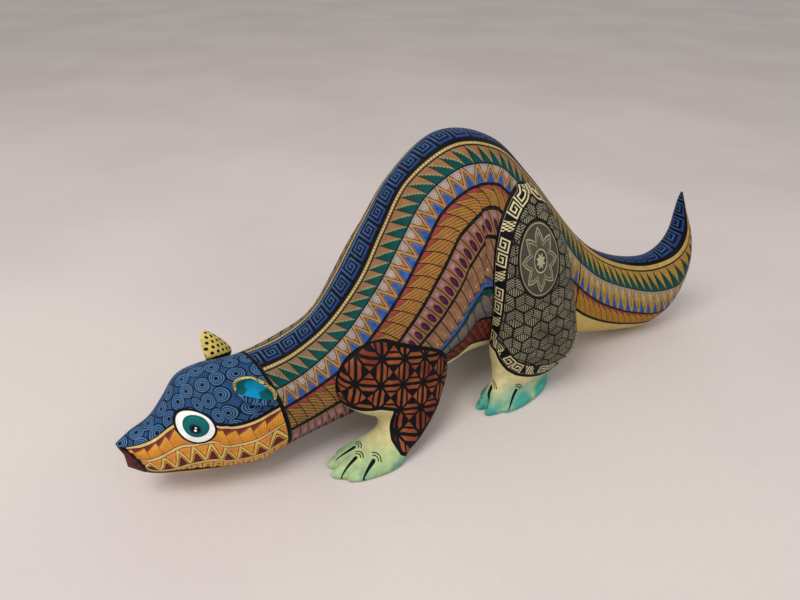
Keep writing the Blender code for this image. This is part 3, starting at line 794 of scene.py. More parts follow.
def paw_ground(paint, low, high, bare, strength):
    """Pale yellow wood with green and teal washes toward the toes."""
    _, height = paint.measured("side")
    wash = between(height + paint.noise(55, 2) * 24, high, low)
    paint.coat(PAW_GREEN, wash * 0.9)
    spots = between(paint.noise(42, 3, 0.6), bare, bare + 0.14)
    paint.coat(PAW_TEAL, spots * wash * strength)


def paint_arm():
    """Front leg: rust and black lattice panel over a pale forearm and paw."""
    paint = Paint("front_leg_paint", (0.64, 0.56, 0.27))
    paw_ground(paint, 18, 30, 0.47, 0.6)
    claw_marks(paint, FRONT_CLAWS, "top")
    along, height = paint.measured("side")
    depth, _ = paint.measured("rim")
    c, s = math.cos(LATTICE_TURN) / LATTICE, math.sin(LATTICE_TURN) / LATTICE
    gx = along * c + height * s + 0.3
    gz = height * c - along * s + 0.15
    number = gx.floor() + gz.floor()
    hand = paint.noise(260) * 0.9 - 0.45
    x = (gx.fract() - 0.5) * LATTICE + hand
    z = (gz.fract() - 0.5) * LATTICE + hand
    ax, az = abs(x), abs(z)
    square = ax.high(az)
    corner = abs(ax - az)
    bars = square.near(6.25, 1.15).high(1.25 - corner)
    odd = (number * 0.5).fract() * 2.0
    bow = (ax - az) * (odd * 2 - 1)
    middle = (square - 3.7).high(0.55 - bow)
    shade = paint.mixed(RUST, RUST_DARK, 60, 0.42, 0.66)
    paint.fill(BLACK, -depth)
    paint.coat(shade, bars.low(middle).cover(0.4) * (1.9 - depth).cover(0.4))
    paint.fill(BLACK, depth.near(0.6, 1.3))
    return paint.finish(tone=0.85)


def paint_haunch():
    """Hind leg: stone-grey panel with a cream border, pale shank and teal paw."""
    paint = Paint("hind_leg_paint", (0.6, 0.52, 0.27))
    paw_ground(paint, 20, 32, 0.37, 0.95)
    claw_marks(paint, HIND_CLAWS, "side")
    x, z = paint.measured("side")
    depth, path = paint.measured("rim")
    paint.fill(OLIVE, -depth)
    add_arms(paint, x, z, depth)
    add_medallion(paint, x, z)
    add_border(paint, depth, path)
    paint.fill(BLACK, depth.near(0.5, 1.3))
    paint.fill(BLACK, depth.near(BORDER, 0.75))
    return paint.finish(relief=0.07, tone=0.92)


def add_arms(paint, x, z, depth):
    """Interlocking three-armed stars drawn with parallel lines."""
    tall = math.sqrt(3)
    hand = paint.noise(60, 2) * 4.4 - 2.2
    gx, gz = (x + hand) / HEX, (z - hand) / HEX
    first = (gx.fract() - 0.5, ((gz / tall).fract() - 0.5) * tall)
    second = ((gx + 0.5).fract() - 0.5, ((gz / tall + 0.5).fract() - 0.5) * tall)
    near = length(*first).below(length(*second))
    px, pz = (b + (a - b) * near for a, b in zip(first, second))
    arms = (pz, px * 0.866 - pz * 0.5, px * -0.866 - pz * 0.5)
    top = arms[0].high(arms[1]).high(arms[2])
    lowest = arms[0].low(arms[1]).low(arms[2])
    middle = arms[0] + arms[1] + arms[2] - top - lowest
    line = abs(((middle - lowest) * 5.2).fract() - 0.5)
    field = (BORDER - depth).cover()
    light = paint.mixed(STONE, (0.2, 0.185, 0.125), 70, 0.4, 0.65)
    paint.coat(light, (line - 0.17).cover(0.12) * field)
    paint.coat(BLACK, (top - middle - 0.085).cover(0.05) * field)
    edge = abs(px).high(abs(px) * 0.5 + abs(pz) * 0.866)
    paint.coat((0.015, 0.015, 0.012), (0.47 - edge).cover(0.04) * (0.3 - top).cover(0.05) * field)


def add_medallion(paint, x, z):
    """Oval with a plain eight-petalled rosette."""
    dx, dz = (x - MEDAL[0]) / MEDAL[2], (z - MEDAL[1]) / MEDAL[3]
    reach = length(dx, dz)
    petals = abs((angle(dx, dz) * 8).fract() - 0.5) * 2.0
    outer = reach - (petals * 0.3 + 0.52)
    star = reach - (0.12 + (1 - petals) * 0.1)
    for colour, edge in (((0.06, 0.056, 0.04), reach - 1), ((0.085, 0.078, 0.055), outer),
                         ((0.04, 0.038, 0.03), reach - 0.34), (STONE, star)):
        paint.fill(colour, edge, 0.02)
    for colour, line, half in ((STONE, outer, 0.022), (STONE, outer + 0.12, 0.014),
                               (STONE, reach - 0.3, 0.02), (STONE, reach - 0.92, 0.012),
                               (BLACK, reach - 1, 0.035)):
        paint.fill(colour, line.near(0, half), 0.02)


def add_border(paint, depth, path):
    """Cream border: two square spirals, then a stepped parallelogram, on black."""
    x = (path / BORDER_TILE).fract() * BORDER_TILE
    y = depth
    strip = y.near(BORDER / 2, BORDER / 2)
    paint.fill(BLACK, strip, 0.2)
    lines = patch(x, y, 0, 1.2, BORDER_TILE, 1.9)
    for start in (0.5, 11.7):
        for stroke in ((0, 1.2, 1.2, 9.6), (0, 8.5, 9.8, 9.6), (8.7, 2.9, 9.8, 9.6),
                       (2.6, 2.9, 9.8, 3.9), (2.6, 2.9, 3.6, 7.2), (2.6, 6.2, 7.2, 7.2),
                       (6.2, 4.9, 7.2, 7.2)):
            x0, y0, x1, y1 = stroke
            lines = lines.low(patch(x, y, x0 + start, y0, x1 + start, y1))
    slant = x - 23.6 - y * 0.55
    cell = (slant - 7.6).high(-slant).high(abs(y - 5.4) - 4.2)
    stair = slant + (y * 0.5).floor() * 1.1
    bars = (abs((stair / 2.5).fract() - 0.5) - 0.27) * 2.5
    lines = lines.low(cell.high(bars))
    paint.coat(CREAM, lines.cover() * (strip + 0.5).cover(0.2))


# ---------------- paints of the ears
def paint_ear_back():
    paint = Paint("ear_yellow", (0.6, 0.48, 0.13))
    x, y = paint.measured("tile")
    spots = [length(((x / 4.2 + k).fract() - 0.5) * 4.2, ((y / 7 + k).fract() - 0.5) * 7)
             for k in (0, 0.5)]
    paint.fill(BLACK, spots[0].low(spots[1]) - 1.3 + paint.noise(300) * 0.4)
    paint.fill(BLACK, y - 4.2)
    return paint.finish()


def paint_ear_inside():
    paint = Paint("ear_turquoise", TURQUOISE)
    x, z = paint.measured("tile")
    paint.fill(CYAN, disc(x + paint.noise(120) * 2, z, -1.6, 8.2, 6.6), 0.8)
    return paint.finish(rough=0.5)


def paint_ear_rim():
    paint = Paint("ear_rim", (0.6, 0.48, 0.16))
    _, y = paint.measured("tile")
    paint.fill(BLACK, (y / 2.4).fract().near(0.5, 0.16), 0.12)
    return paint.finish()


def paint_wood(name, stretch):
    """Bare birch with fine fibres."""
    paint = Paint(name, BIRCH)
    fibre = paint.noise(240, 5, 0.6, stretch)
    paint.coat(BIRCH_DARK, between(fibre, 0.46, 0.62) * 0.55)
    pore = paint.noise(1100, 2, 0, stretch)
    paint.coat((0.2, 0.11, 0.045), between(pore, 0.62, 0.7) * 0.6)
    return paint.finish(rough=0.62, relief=0.09, mottle=0.1)


# ---------------- meshes
def spline(rows, u):
    """Smooth curve through the rows, one unit of u per row, at every u of an array."""
    a = np.array(rows, float)
    u = np.clip(np.asarray(u, float), 0.0, len(a) - 1.0)
    i = np.minimum(u.astype(int), len(a) - 2)
    f = (u - i)[:, None]
    p = [a[np.clip(i + k, 0, len(a) - 1)] for k in (-1, 0, 1, 2)]
    return 0.5 * (2 * p[1] + (p[2] - p[0]) * f
                  + (2 * p[0] - 5 * p[1] + 4 * p[2] - p[3]) * f ** 2
                  + (3 * p[1] - p[0] - 3 * p[2] + p[3]) * f ** 3)


def table(rows, u):
    """Smooth reading of a table whose first column is the station."""
    rows = np.array(rows, float)
    where = np.interp(u, rows[:, 0], np.arange(len(rows)))
    return spline(rows, where)[:, 1:]


def unit(v):
    return v / np.maximum(np.linalg.norm(v, axis=-1, keepdims=True), 1e-9)


def body_frames(u):
    """Rows of the body at u, and the directions that a section leaves them in."""
    s = spline(BODY, u)
    top = len(BODY) - 1.0
    d = (spline(BODY, np.minimum(u + SLOPE_STEP, top))
         - spline(BODY, np.maximum(u - SLOPE_STEP, 0.0)))
    back, belly = unit(d[:, 0:2]), unit(d[:, 2:4])
    run = d[:, 0] + d[:, 2]
    side = unit(np.stack([-2 * d[:, 4], run], axis=1))
    side[np.abs(run) < 1e-9] = (0.0, 1.0)
    side[side[:, 1] < 0] *= -1
    n_back = np.stack([back[:, 1], -back[:, 0]], axis=1)
    n_belly = np.stack([-belly[:, 1], belly[:, 0]], axis=1)
    return s, n_back, n_belly, side


def body_points(u, t, w):
    """Points at depth t (0 back, 1 belly) and sideways offset w, one row of t per u."""
    s, n_back, n_belly, side = body_frames(u)
    start, stop = s[:, 0:2], s[:, 2:4]
    h = np.linalg.norm(stop - start, axis=1, keepdims=True) * HANDLE
    knots = (start, start + n_back * h, stop + n_belly * h, stop)
    weights = ((1 - t) ** 3, 3 * (1 - t) ** 2 * t, 3 * (1 - t) * t * t, t ** 3)
    flat = sum(c[..., None] * k[:, None, :] for c, k in zip(weights, knots))
    x = flat[..., 0] + w * side[:, :1]
    y = s[:, 4:5] + w * side[:, 1:]
    return np.stack([x, y, flat[..., 1]], axis=-1)


def body_rings(u):
    """Dense sections of the body, from the back line down the left side and round."""
    s = spline(BODY, u)
    a = 2 * math.pi * np.arange(RING_SAMPLES) / RING_SAMPLES
    c, q = np.cos(a)[None], -np.sin(a)[None]
    n = np.where(c >= 0, s[:, 7:8], s[:, 8:9])
    rise, out = np.abs(c) ** (2 / n), np.abs(q) ** (2 / n)
    middle = s[:, 6:7]
    t = np.where(c >= 0, middle * (1 - rise), middle + (1 - middle) * rise)
    return body_points(u, t, np.sign(q) * out * s[:, 5:6])


def eye_frames():
    """Middle of each eye and its axes: toward the tail, up, and out of the head."""
    u = np.array([EYE_U])
    row = spline(BODY, u)[0]
    wide, middle, full = row[5:8]
    half = wide * (1 - ((middle - EYE_T) / middle) ** full) ** (1 / full)
    depth = np.full((1, 1), EYE_T)
    centre = body_points(u, depth, np.zeros((1, 1)))[0, 0]
    frames = {}
    for side in (-1, 1):
        offset = np.full((1, 1), side * half)
        eye = body_points(u, depth, offset)[0, 0]
        ahead = body_points(u + EYE_AHEAD, depth, offset)[0, 0]
        out = unit(eye - centre)
        along = ahead - eye
        along = unit(along - out * along.dot(out))
        up = np.cross(out, along)
        frames[side] = (eye, along, up * np.sign(up[2]), out)
    return frames


EYES = eye_frames()


def raise_eyes(points):
    """Low mound under each painted eye."""
    for eye, _, _, out in EYES.values():
        d = np.linalg.norm(points - eye, axis=-1) / EYE_R
        lift = EYE_H * np.where(d < 1, (1 - d * d) ** 2, 0.0)
        points = points + lift[..., None] * out
    return points


def running(points):
    """Distance run along each row of points."""
    steps = np.linalg.norm(np.diff(points, axis=-2), axis=-1)
    return np.concatenate([0.0 * steps[..., :1], np.cumsum(steps, axis=-1)], axis=-1)


def closed_up(rings):
    """Rings with their first point again at the end."""
    return np.concatenate([rings, rings[:, :1]], axis=1)


def stations(u0, u1):
    """Stations between u0 and u1, evenly spaced along the body."""
    fine = np.linspace(u0, u1, FINE_STEPS)
    row = spline(BODY, fine)
    run = (running(row[:, 0:2]) + running(row[:, 2:4])) / 2
    return np.interp(np.linspace(0.0, run[-1], int(run[-1] / RING_PITCH) + 1), run, fine)


def add_object(name, data):
    obj = bpy.data.objects.new(name, data)
    bpy.context.scene.collection.objects.link(obj)
    return obj


def make_mesh(name, points, index, paints, layers, cap, middles=None):
    """Closed skin over a grid of points (rings, columns), with its maps and materials."""
    rings, columns = points.shape[:2]
    if middles is None:
        middles = [points[0].mean(axis=0), points[-1].mean(axis=0)]
    verts = np.concatenate([points.reshape(-1, 3), np.array(middles)]) + SHIFT
    i, k = np.meshgrid(np.arange(rings - 1) * columns, np.arange(columns), indexing="ij")
    k2 = (k + 1) % columns
    quads = np.stack([i + k, i + k2, i + columns + k2, i + columns + k], axis=-1)
    a, b, c = (verts[quads[..., j]] for j in (0, 1, 2))
    outward = np.sum(np.cross(b - a, c - a) * (a - verts.mean(axis=0))) > 0
    order = 1 if outward else -1
    caps = []
    for end, first in ((0, 0), (1, (rings - 1) * columns)):
        for j in range(columns):
            tri = (rings * columns + end, first + j, first + (j + 1) % columns)
            caps.append(tri if (end == 1) == outward else tri[::-1])
    mesh = bpy.data.meshes.new(name)
    mesh.from_pydata((verts * MM).tolist(), [], quads.reshape(-1, 4)[:, ::order].tolist() + caps)
    index = np.concatenate([index.reshape(-1), np.full(len(caps), list(paints).index(cap))])
    mesh.polygons.foreach_set("material_index", index)
    for layer, values in layers.items():
        loops = values.reshape(-1, 4, 2)[:, ::order].reshape(-1, 2)
        flat = np.concatenate([loops, np.zeros((3 * len(caps), 2))])
        mesh.uv_layers.new(name=layer).data.foreach_set("uv", flat.reshape(-1))
    for material in paints.values():
        mesh.materials.append(material)
    mesh.shade_smooth()
    mesh.update()
    return add_object(name, mesh)


def corners(along, across):
    """Map of a grid's faces from values at its rings and columns, as (ring, column)."""
    both = np.stack([along, across], axis=-1)
    return np.stack([both[:-1, :-1], both[:-1, 1:], both[1:, 1:], both[1:, :-1]], axis=2)


def lean_at(u):
    start, stop, most = LEAN
    return most * np.clip((u - start) / (stop - start), 0.0, 1.0)


def band_spans(bands, side, reach):
    """Bands below the key pattern on one side, as (material, columns, upper, lower edge)."""
    edge = bands[0][side]
    spans = []
    for band in bands[1:]:
        lower = np.maximum(np.minimum(band[side], reach - BELLY_LEFT), edge + BAND_LEFT)
        spans.append((band[0], band[1], edge, lower))
        edge = lower
    return spans, edge


def painted_skin(u, rings, bands, under, paints):
    """Points, material numbers and maps of one length of the body.  bands is a list of
    (material, columns, near, far) for the half ring from the middle of the back to the middle
    of the belly, where near and far are the distances of the band's lower edge from the back
    line on the two sides.  under is the paint of the belly."""
    closed = closed_up(rings)
    cum = running(closed)
    total = cum[:, -1]
    belly = cum[:, RING_SAMPLES // 2]

    def ring_points(where):
        """Point of each ring at each distance round it."""
        points = np.empty(where.shape + (3,))
        for r in range(len(u)):
            for axis in range(3):
                points[r, ..., axis] = np.interp(where[r] % total[r], cum[r], closed[r, :, axis])
        return points

    # from the far edge of the key pattern down the near side and up the far side
    kind, columns, near, far = bands[0]
    near_spans, near_end = band_spans(bands, 2, belly)
    far_spans, far_end = band_spans(bands, 3, total - belly)
    spans = [(kind, 2 * columns, -far, near)] + near_spans
    spans.append((under, BELLY_COLUMNS, near_end, total - far_end))
    spans += [(*span[:2], total - span[3], total - span[2]) for span in reversed(far_spans)]

    sigma, index, tile = [], [], []
    for number, (kind, columns, start, stop) in enumerate(spans):
        mirrored = number > len(bands)
        share = np.linspace(0.0, 1.0, columns + 1)[None]
        wide = (stop - start)[:, None]
        across = np.repeat(1 - share if mirrored else share, len(u), axis=0)
        along = running(ring_points(0.5 * (start + stop)))[:, None] + 0.0 * across
        if kind in LEANING:
            along = along - lean_at(u)[:, None] * across * wide * (-1 if mirrored else 1)
        sigma.append((start[:, None] + wide * share)[:, :-1])
        index.append(np.full((len(u) - 1, columns), list(paints).index(kind)))
        tile.append(corners(along / TILE.get(kind, (1.0, 1.0))[0], across))
    sigma, index, tile = (np.concatenate(part, axis=1) for part in (sigma, index, tile))

    # maps over the whole surface: station and depth, and the flattened skin
    wrapped = np.concatenate([sigma, sigma[:, :1] + total[:, None]], axis=1)
    signed = np.where(wrapped > belly[:, None], wrapped - total[:, None], wrapped)
    distance = running(spline(BODY, u)[:, 0:2])[:, None] + 0.0 * signed
    layers = {"tile": tile, "place": corners(u[:, None] + 0.0 * signed, signed / MAP),
              "flat": corners(distance / MAP, signed / MAP)}
    return ring_points(sigma), index, layers


def turn_collar(u, points, index, paints):
    """Slides the sections near the collar back on the left side and forward on the right,
    and paints the faces beside the seam black."""
    row = spline(BODY, u)
    side = (points[..., 1] - row[:, 4:5]) / row[:, 5:6]
    fade = np.clip(1.0 - np.abs(u - COLLAR) / COLLAR_FADE, 0.0, 1.0)
    fade = fade * fade * (3 - 2 * fade)
    want = u[:, None] - COLLAR_TURN * fade[:, None] * side
    moved = points.copy()
    for k in range(points.shape[1]):
        for axis in range(3):
            moved[:, k, axis] = np.interp(want[:, k], u, points[:, k, axis])
    index[np.abs(u[:-1] - COLLAR) < COLLAR_LINE] = list(paints).index("outline")
    return moved


def trunk_bands(u, girth, count):
    """Bands of the trunk or tail at the stations u, with the black lines between them."""
    rows = table(BAND_ROWS, u)
    far = -2 * rows[:, 0]
    pinch = np.clip((u - PINCH[0]) / (PINCH[1] - PINCH[0]), PINCH[2], 1.0)
    taper = np.minimum(1.0, girth / FULL_GIRTH)
    bands = [("key", KEY_COLUMNS // 2, rows[:, 1], rows[:, 1] + far)]
    for j, (kind, columns, line) in enumerate(BANDS[:count]):
        half = line / 2 * taper * (pinch if j >= LOW_LINE else 1.0)
        edge = rows[:, j + 2]
        bands.append((kind, columns, edge - half, edge - half + far))
        bands.append(("outline", 1, edge + half, edge + half + far))
    return bands


def build_trunk(name, u0, u1, margin, count, under, paints):
    """Trunk or tail with its painted bands."""
    u = stations(u0 - margin, u1 + margin)
    rings = body_rings(u)
    bands = trunk_bands(u, running(closed_up(rings))[:, -1] / 2, count)
    points, index, layers = painted_skin(u, rings, bands, under, paints)
    points = turn_collar(u, points, index, paints)
    kept = np.nonzero((u >= u0) & (u <= u1))[0]
    faces = slice(kept[0], kept[-1])
    layers = {layer: values[faces] for layer, values in layers.items()}
    return make_mesh(name, points[kept], index[faces], paints, layers, "outline")


def head_bands(u):
    """Painted edges of the head at the stations u."""
    blue, line, second, third, mouth = table(HEAD_ROWS, u).T
    small = np.clip(u, 0.15, 1.0)
    yellow, thin, dark = YELLOW_LINE * small, THIN_LINE * small, MOUTH_LINE * small
    edges = [("blue", 12, blue), ("outline", 1, blue + line),
             ("stripe", 2, blue + line + yellow), ("outline", 1, blue + line + yellow + thin)]
    for kind, edge in (("flame", second), ("spirals", third)):
        edges += [(kind, 8, edge), ("outline", 1, edge + thin),
                  ("stripe", 2, edge + thin + yellow), ("outline", 1, edge + 2 * thin + yellow)]
    edges += [("jaw", 5, mouth), ("outline", 1, mouth + dark)]
    return [(kind, columns, edge, edge) for kind, columns, edge in edges]


def build_head(paints):
    """Head with its painted bands, nose and eyes."""
    u = stations(0.0, COLLAR + MARGIN)
    rings = raise_eyes(body_rings(u))
    points, index, layers = painted_skin(u, rings, head_bands(u), "chin", paints)
    points = turn_collar(u, points, index, paints)
    below = np.abs(layers["place"][..., :2, 1]).mean(axis=-1) * MAP
    blue_edge, mouth = table(HEAD_ROWS, u)[:-1, (0, 4)].T
    depth = (below - blue_edge[:, None]) / np.maximum(mouth - blue_edge, 1.0)[:, None]
    nose_end = NOSE_END + NOSE_SLANT * np.clip(depth, 0.0, 1.0) ** 1.5
    for kind, end in (("outline", nose_end + NOSE_LINE), ("nose", nose_end)):
        index[(u[:-1, None] < end) & (depth > 0.0)] = list(paints).index(kind)
    last = int(np.searchsorted(u, COLLAR))
    points = points[:last + 1]
    layers = {layer: values[:last] for layer, values in layers.items()}

    ring = closed_up(points)
    quad = np.stack([ring[:-1, :-1], ring[:-1, 1:], ring[1:, 1:], ring[1:, :-1]], axis=2)
    left = quad[..., 1].mean(axis=2) < spline(BODY, u[:last])[:, 4:5]
    layers["eye"] = np.empty(quad.shape[:3] + (2,))
    for side, pick in ((-1, left), (1, ~left)):
        spot, along, up, _ = EYES[side]
        local = np.stack([(quad - spot) @ along, (quad - spot) @ up], axis=-1) / MAP
        layers["eye"][pick] = local[pick]
    return make_mesh("painted_head", points, index[:last], paints, layers, "nose")


def leg_points(rows, steps):
    """Sections of a leg in its own frame: points, and how far down each one is."""
    row = spline(rows, np.linspace(0.0, len(rows) - 1.0, (len(rows) - 1) * steps + 1))
    z, cx, cy, ax, ay, n, turn, cleft = (row[:, j:j + 1] for j in range(8))
    a = 2 * math.pi * (np.arange(LEG_SIDES) + 0.5) / LEG_SIDES
    c, q = -np.cos(a)[None], np.sin(a)[None]
    x = np.sign(c) * np.abs(c) ** (2 / n) * ax
    y = np.sign(q) * np.abs(q) ** (2 / n) * ay
    ahead = np.clip((-c - TOE_START) / (1 - TOE_START), 0.0, 1.0)
    toe = np.abs(np.sin(1.5 * math.pi * (y / ay)))
    x = x + ax * np.maximum(cleft, 0.0) * CLEFT_REACH * ahead * (1 - toe)
    r = np.radians(-turn)
    return np.stack([cx + x * np.cos(r) - y * np.sin(r), cy + x * np.sin(r) + y * np.cos(r),
                     np.maximum(z, 0.0) + 0 * x], axis=-1)


def smoothed(places):
    """Outline points with the steps of the mesh taken out."""
    places = np.array(places, float)
    ends = [places[:1]] * OUTLINE_REACH, [places[-1:]] * OUTLINE_REACH
    padded = np.concatenate(ends[0] + [places] + ends[1])
    count = 2 * OUTLINE_REACH + 1
    return sum(padded[k:k + len(places)] for k in range(count)) / count


def surface_crossing(around, gap, start, sign):
    """How far round a section the leg runs from its outermost point into the body."""
    order = np.argsort(around * sign)
    place, gap = around[order] * sign, gap[order]
    first = int(np.nonzero(order == start)[0][0])
    for k in range(first, len(place) - 1):
        if gap[k] > 0 >= gap[k + 1]:
            share = gap[k] / (gap[k] - gap[k + 1])
            return sign * min(place[k] + share * (place[k + 1] - place[k]), SECTION_REACH)
    return sign * SECTION_REACH


def panel_map(kind, around, height, gap, outermost):
    """For each point of a leg, its depth inside the painted panel's outline and the place
    along that outline that it is nearest to.  gap is the distance outside the body."""
    free = [r for r in range(len(around))
            if height[r, 0] >= RIM_LOW[kind] and gap[r, outermost[r]] > 0]
    front, rear = ([(surface_crossing(around[r], gap[r], outermost[r], way), height[r, 0])
                    for r in free] for way in (-1, 1))
    front, rear = (smoothed([(edge[0][0], edge[0][1] + TOP_REACH)] + edge)
                   for edge in (front, rear))
    below = FRONT_PANEL if kind == "front" else HIND_PANEL
    outline = np.concatenate([below[::-1], front[::-1], rear, below[-1:]]).astype(float)
    seg = np.roll(outline, -1, axis=0) - outline
    size = np.maximum(np.linalg.norm(seg, axis=1), 1e-6)
    run = np.cumsum(size) - size
    best = np.full(around.shape, np.inf)
    path = np.zeros(around.shape)
    inside = np.zeros(around.shape, bool)
    for (x0, z0), (dx, dz), long, start in zip(outline, seg, size, run):
        share = np.clip(((around - x0) * dx + (height - z0) * dz) / long ** 2, 0.0, 1.0)
        away = np.hypot(around - x0 - share * dx, height - z0 - share * dz)
        path = np.where(away < best, start + share * long, path)
        best = np.minimum(away, best)
        if abs(dz) > 1e-9:
            crosses = (height >= z0) != (height >= z0 + dz)
            inside ^= crosses & (around < x0 + (height - z0) * dx / dz)
    depth = np.where(inside, best, -best)
    if kind == "front":
        depth = np.where(height > TOP_LINE, np.minimum(depth, gap * TOP_DEPTH / MM), depth)
    return depth, path


def outside_body(points, tree):
    """Distance of each point outside the trunk, in metres."""
    gap = []
    for point in ((points + SHIFT) * MM).reshape(-1, 3):
        where, normal, _, _ = tree.find_nearest(Vector(point))
        gap.append((Vector(point) - where).dot(normal))
    return np.array(gap).reshape(points.shape[:2])


def build_leg(kind, word, side, rows, place, material, tree):
    """One leg in its frame beside the body, with the maps its paint needs."""
    local = leg_points(rows, LEG_STEPS)
    height = local[..., 2]
    x, y, turn = place
    c, s = math.cos(math.radians(turn)), math.sin(math.radians(turn))
    lx, ly = local[..., 0], local[..., 1] * side
    points = np.stack([x + lx * c - ly * s, y + lx * s + ly * c, height], axis=-1)

    # distance round each section from its outermost point, toward the tail
    run = running(closed_up(local[..., :2]))
    whole = run[:, -1:]
    ring = np.arange(len(local))
    start = np.argmin(local[..., 1], axis=1)
    first = local[ring, start, 0]
    arc = (run[:, :-1] - run[ring, start][:, None] + whole / 2) % whole - whole / 2
    way = np.sign(local[ring, (start + 3) % LEG_SIDES, 0] - first)
    around = arc * way[:, None] + first[:, None]
    depth, path = panel_map(kind, around, height, outside_body(points, tree), start)

    # the seam of the maps runs down the inner side
    order = (np.arange(LEG_SIDES) + int(np.median(start)) + LEG_SIDES // 2) % LEG_SIDES
    points = points[:, order]
    along, height, depth, path, lx, ly = (
        closed_up(m[:, order]) / MAP
        for m in (around, height, depth, path, lx, local[..., 1]))
    along[:, -1:] += np.sign(along[:, -2:-1] - along[:, :1]) * whole / MAP
    layers = {"side": corners(along, height), "top": corners(lx, ly), "rim": corners(depth, path)}
    index = np.zeros((len(points) - 1, LEG_SIDES), int)
    obj = make_mesh("painted_%s_leg_%s" % (kind, word), points, index, {"leg": material},
                    layers, "leg")
    attach(obj, "carving", "%s_leg_%s" % (kind, word))


def head_place(spot, way, side):
    """A place and direction given for the left of the head, on the left or the right."""
    turn = Matrix.Rotation(math.radians(HEAD_TURN), 3, "Z")
    middle = Vector((HEAD_MIDDLE[0], HEAD_MIDDLE[1], 0.0))
    arm = turn.inverted() @ (Vector(spot) - middle)
    aim = turn.inverted() @ Vector(way).normalized()
    if side > 0:
        arm.y, aim.y = -arm.y, -aim.y
    return middle + turn @ arm, turn @ aim


def ear_matrix(side):
    """Frame of an ear: x toward the back, z out of the head."""
    seat, axis = head_place(EAR_SEAT, EAR_AXIS, side)
    _, along = head_place(EAR_SEAT, EAR_ALONG, side)
    along = (along - axis * along.dot(axis)).normalized()
    turn = Matrix((along, axis.cross(along), axis)).transposed().to_4x4()
    return Matrix.Translation(seat) @ turn


def ear_sweep(z):
    return -EAR_SWEEP * max(z - EAR_BASE, 0.0)


def moved(rings, matrix):
    return np.array([[tuple(matrix @ Vector(p)) for p in ring] for ring in rings])


def build_ear(word, side, paints):
    """An ear is a scoop on a straight round peg, hollow side out and a little forward."""
    half = EAR_SIDES // 2
    rings = []
    for zb, back, wide, zf, front, narrow in EAR:
        ring = []
        for k in range(EAR_SIDES):
            a = math.pi * (k % half + 0.5) / half
            if k < half:
                x, y, z = wide * math.cos(a), back * math.sin(a), zb
            else:
                x, y, z = -narrow * math.cos(a), front * math.sin(a), zf
            ring.append((x + ear_sweep(z), y * -side, z))
        rings.append(ring)
    names = list(paints)
    index = np.full((len(EAR) - 1, EAR_SIDES), names.index("back"))
    index[:LIP_ROWS[0]] = names.index("peg")
    index[LIP_ROWS[0]:LIP_ROWS[1], half:EAR_SIDES - 1] = names.index("lip")
    index[LIP_ROWS[1]:, half:EAR_SIDES - 1] = names.index("inside")
    index[LIP_ROWS[0]:, (half - 1, EAR_SIDES - 1)] = names.index("rim")
    closed = closed_up(np.array(rings)) / MAP
    matrix = ear_matrix(side)
    top = EAR[-1]
    tip = Vector((ear_sweep(top[0]), (top[1] + top[4]) / 2 * -side, top[0] + EAR_TIP))
    middles = [tuple(matrix @ Vector((0, 0, -PEG_L))), tuple(matrix @ tip)]
    obj = make_mesh("painted_ear_%s" % word, moved(rings, matrix), index, paints,
                    {"tile": corners(closed[..., 0], closed[..., 2])}, "rim", middles)
    smooth = obj.modifiers.new("smooth", "SUBSURF")
    smooth.levels = smooth.render_levels = 2
    bake_modifiers(obj)
    attach(obj, "ear_" + word, "ear_" + word)


def bake_modifiers(obj):
    """Replaces an object's mesh by the result of its modifiers."""
    result = bpy.data.meshes.new_from_object(
        obj.evaluated_get(bpy.context.evaluated_depsgraph_get()))
    obj.modifiers.clear()
    obj.data = result


def seat_rings(side):
    """Seat under an ear: it widens upward with the ear and never closes in again."""
    rings = []
    wide, back, front = 0.0, 0.0, 0.0
    rows = EAR[SEAT_ROWS]
    for z, row_back, row_wide, _, row_front, _ in rows + [(SEAT_TOP,) + rows[-1][1:]]:
        wide = max(wide, row_wide)
        back = max(back, row_back)
        front = min(front, row_front)
        ring = []
        for k in range(EAR_SIDES):
            a = 2 * math.pi * (k + 0.5) / EAR_SIDES
            reach = back + GAP if math.sin(a) > 0 else GAP - front
            x = (wide + GAP) * math.cos(a)
            x += ear_sweep(z) if x < 0 else 0.0
            ring.append((x, reach * math.sin(a) * -side, z - GAP))
        rings.append(ring)
    return rings


def cut_sockets(head, material):
    """Sinks the seat and the round socket of each ear into the head."""
    cutters = []
    for side in (-1, 1):
        matrix = ear_matrix(side)
        seat = seat_rings(side)
        bore = []
        for z in (-PEG_L - GAP, SOCKET_OPEN):
            bore.append([((PEG_R + RUN) * math.cos(a), (PEG_R + RUN) * math.sin(a), z)
                         for a in np.arange(SOCKET_SIDES) * 2 * math.pi / SOCKET_SIDES])
        for rings in (seat, bore):
            middles = [tuple(matrix @ Vector((0, 0, rings[0][0][2]))),
                       tuple(matrix @ Vector((0, 0, rings[-1][0][2])))]
            index = np.zeros((len(rings) - 1, len(rings[0])), int)
            cutter = make_mesh("cutter", moved(rings, matrix), index, {"bare": material}, {},
                               "bare", middles)
            cutter.data.shade_flat()
            cutters.append(cutter)
            mod = head.modifiers.new("cut", "BOOLEAN")
            mod.operation = "DIFFERENCE"
            mod.solver = "EXACT"
            mod.material_mode = "TRANSFER"
            mod.object = cutter
    bake_modifiers(head)
    for cutter in cutters:
        bpy.data.objects.remove(cutter)


def attach(piece, body, node):
    """Makes an object ride on a body in place of a CAD node."""
    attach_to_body(piece, body)
    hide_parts(node)


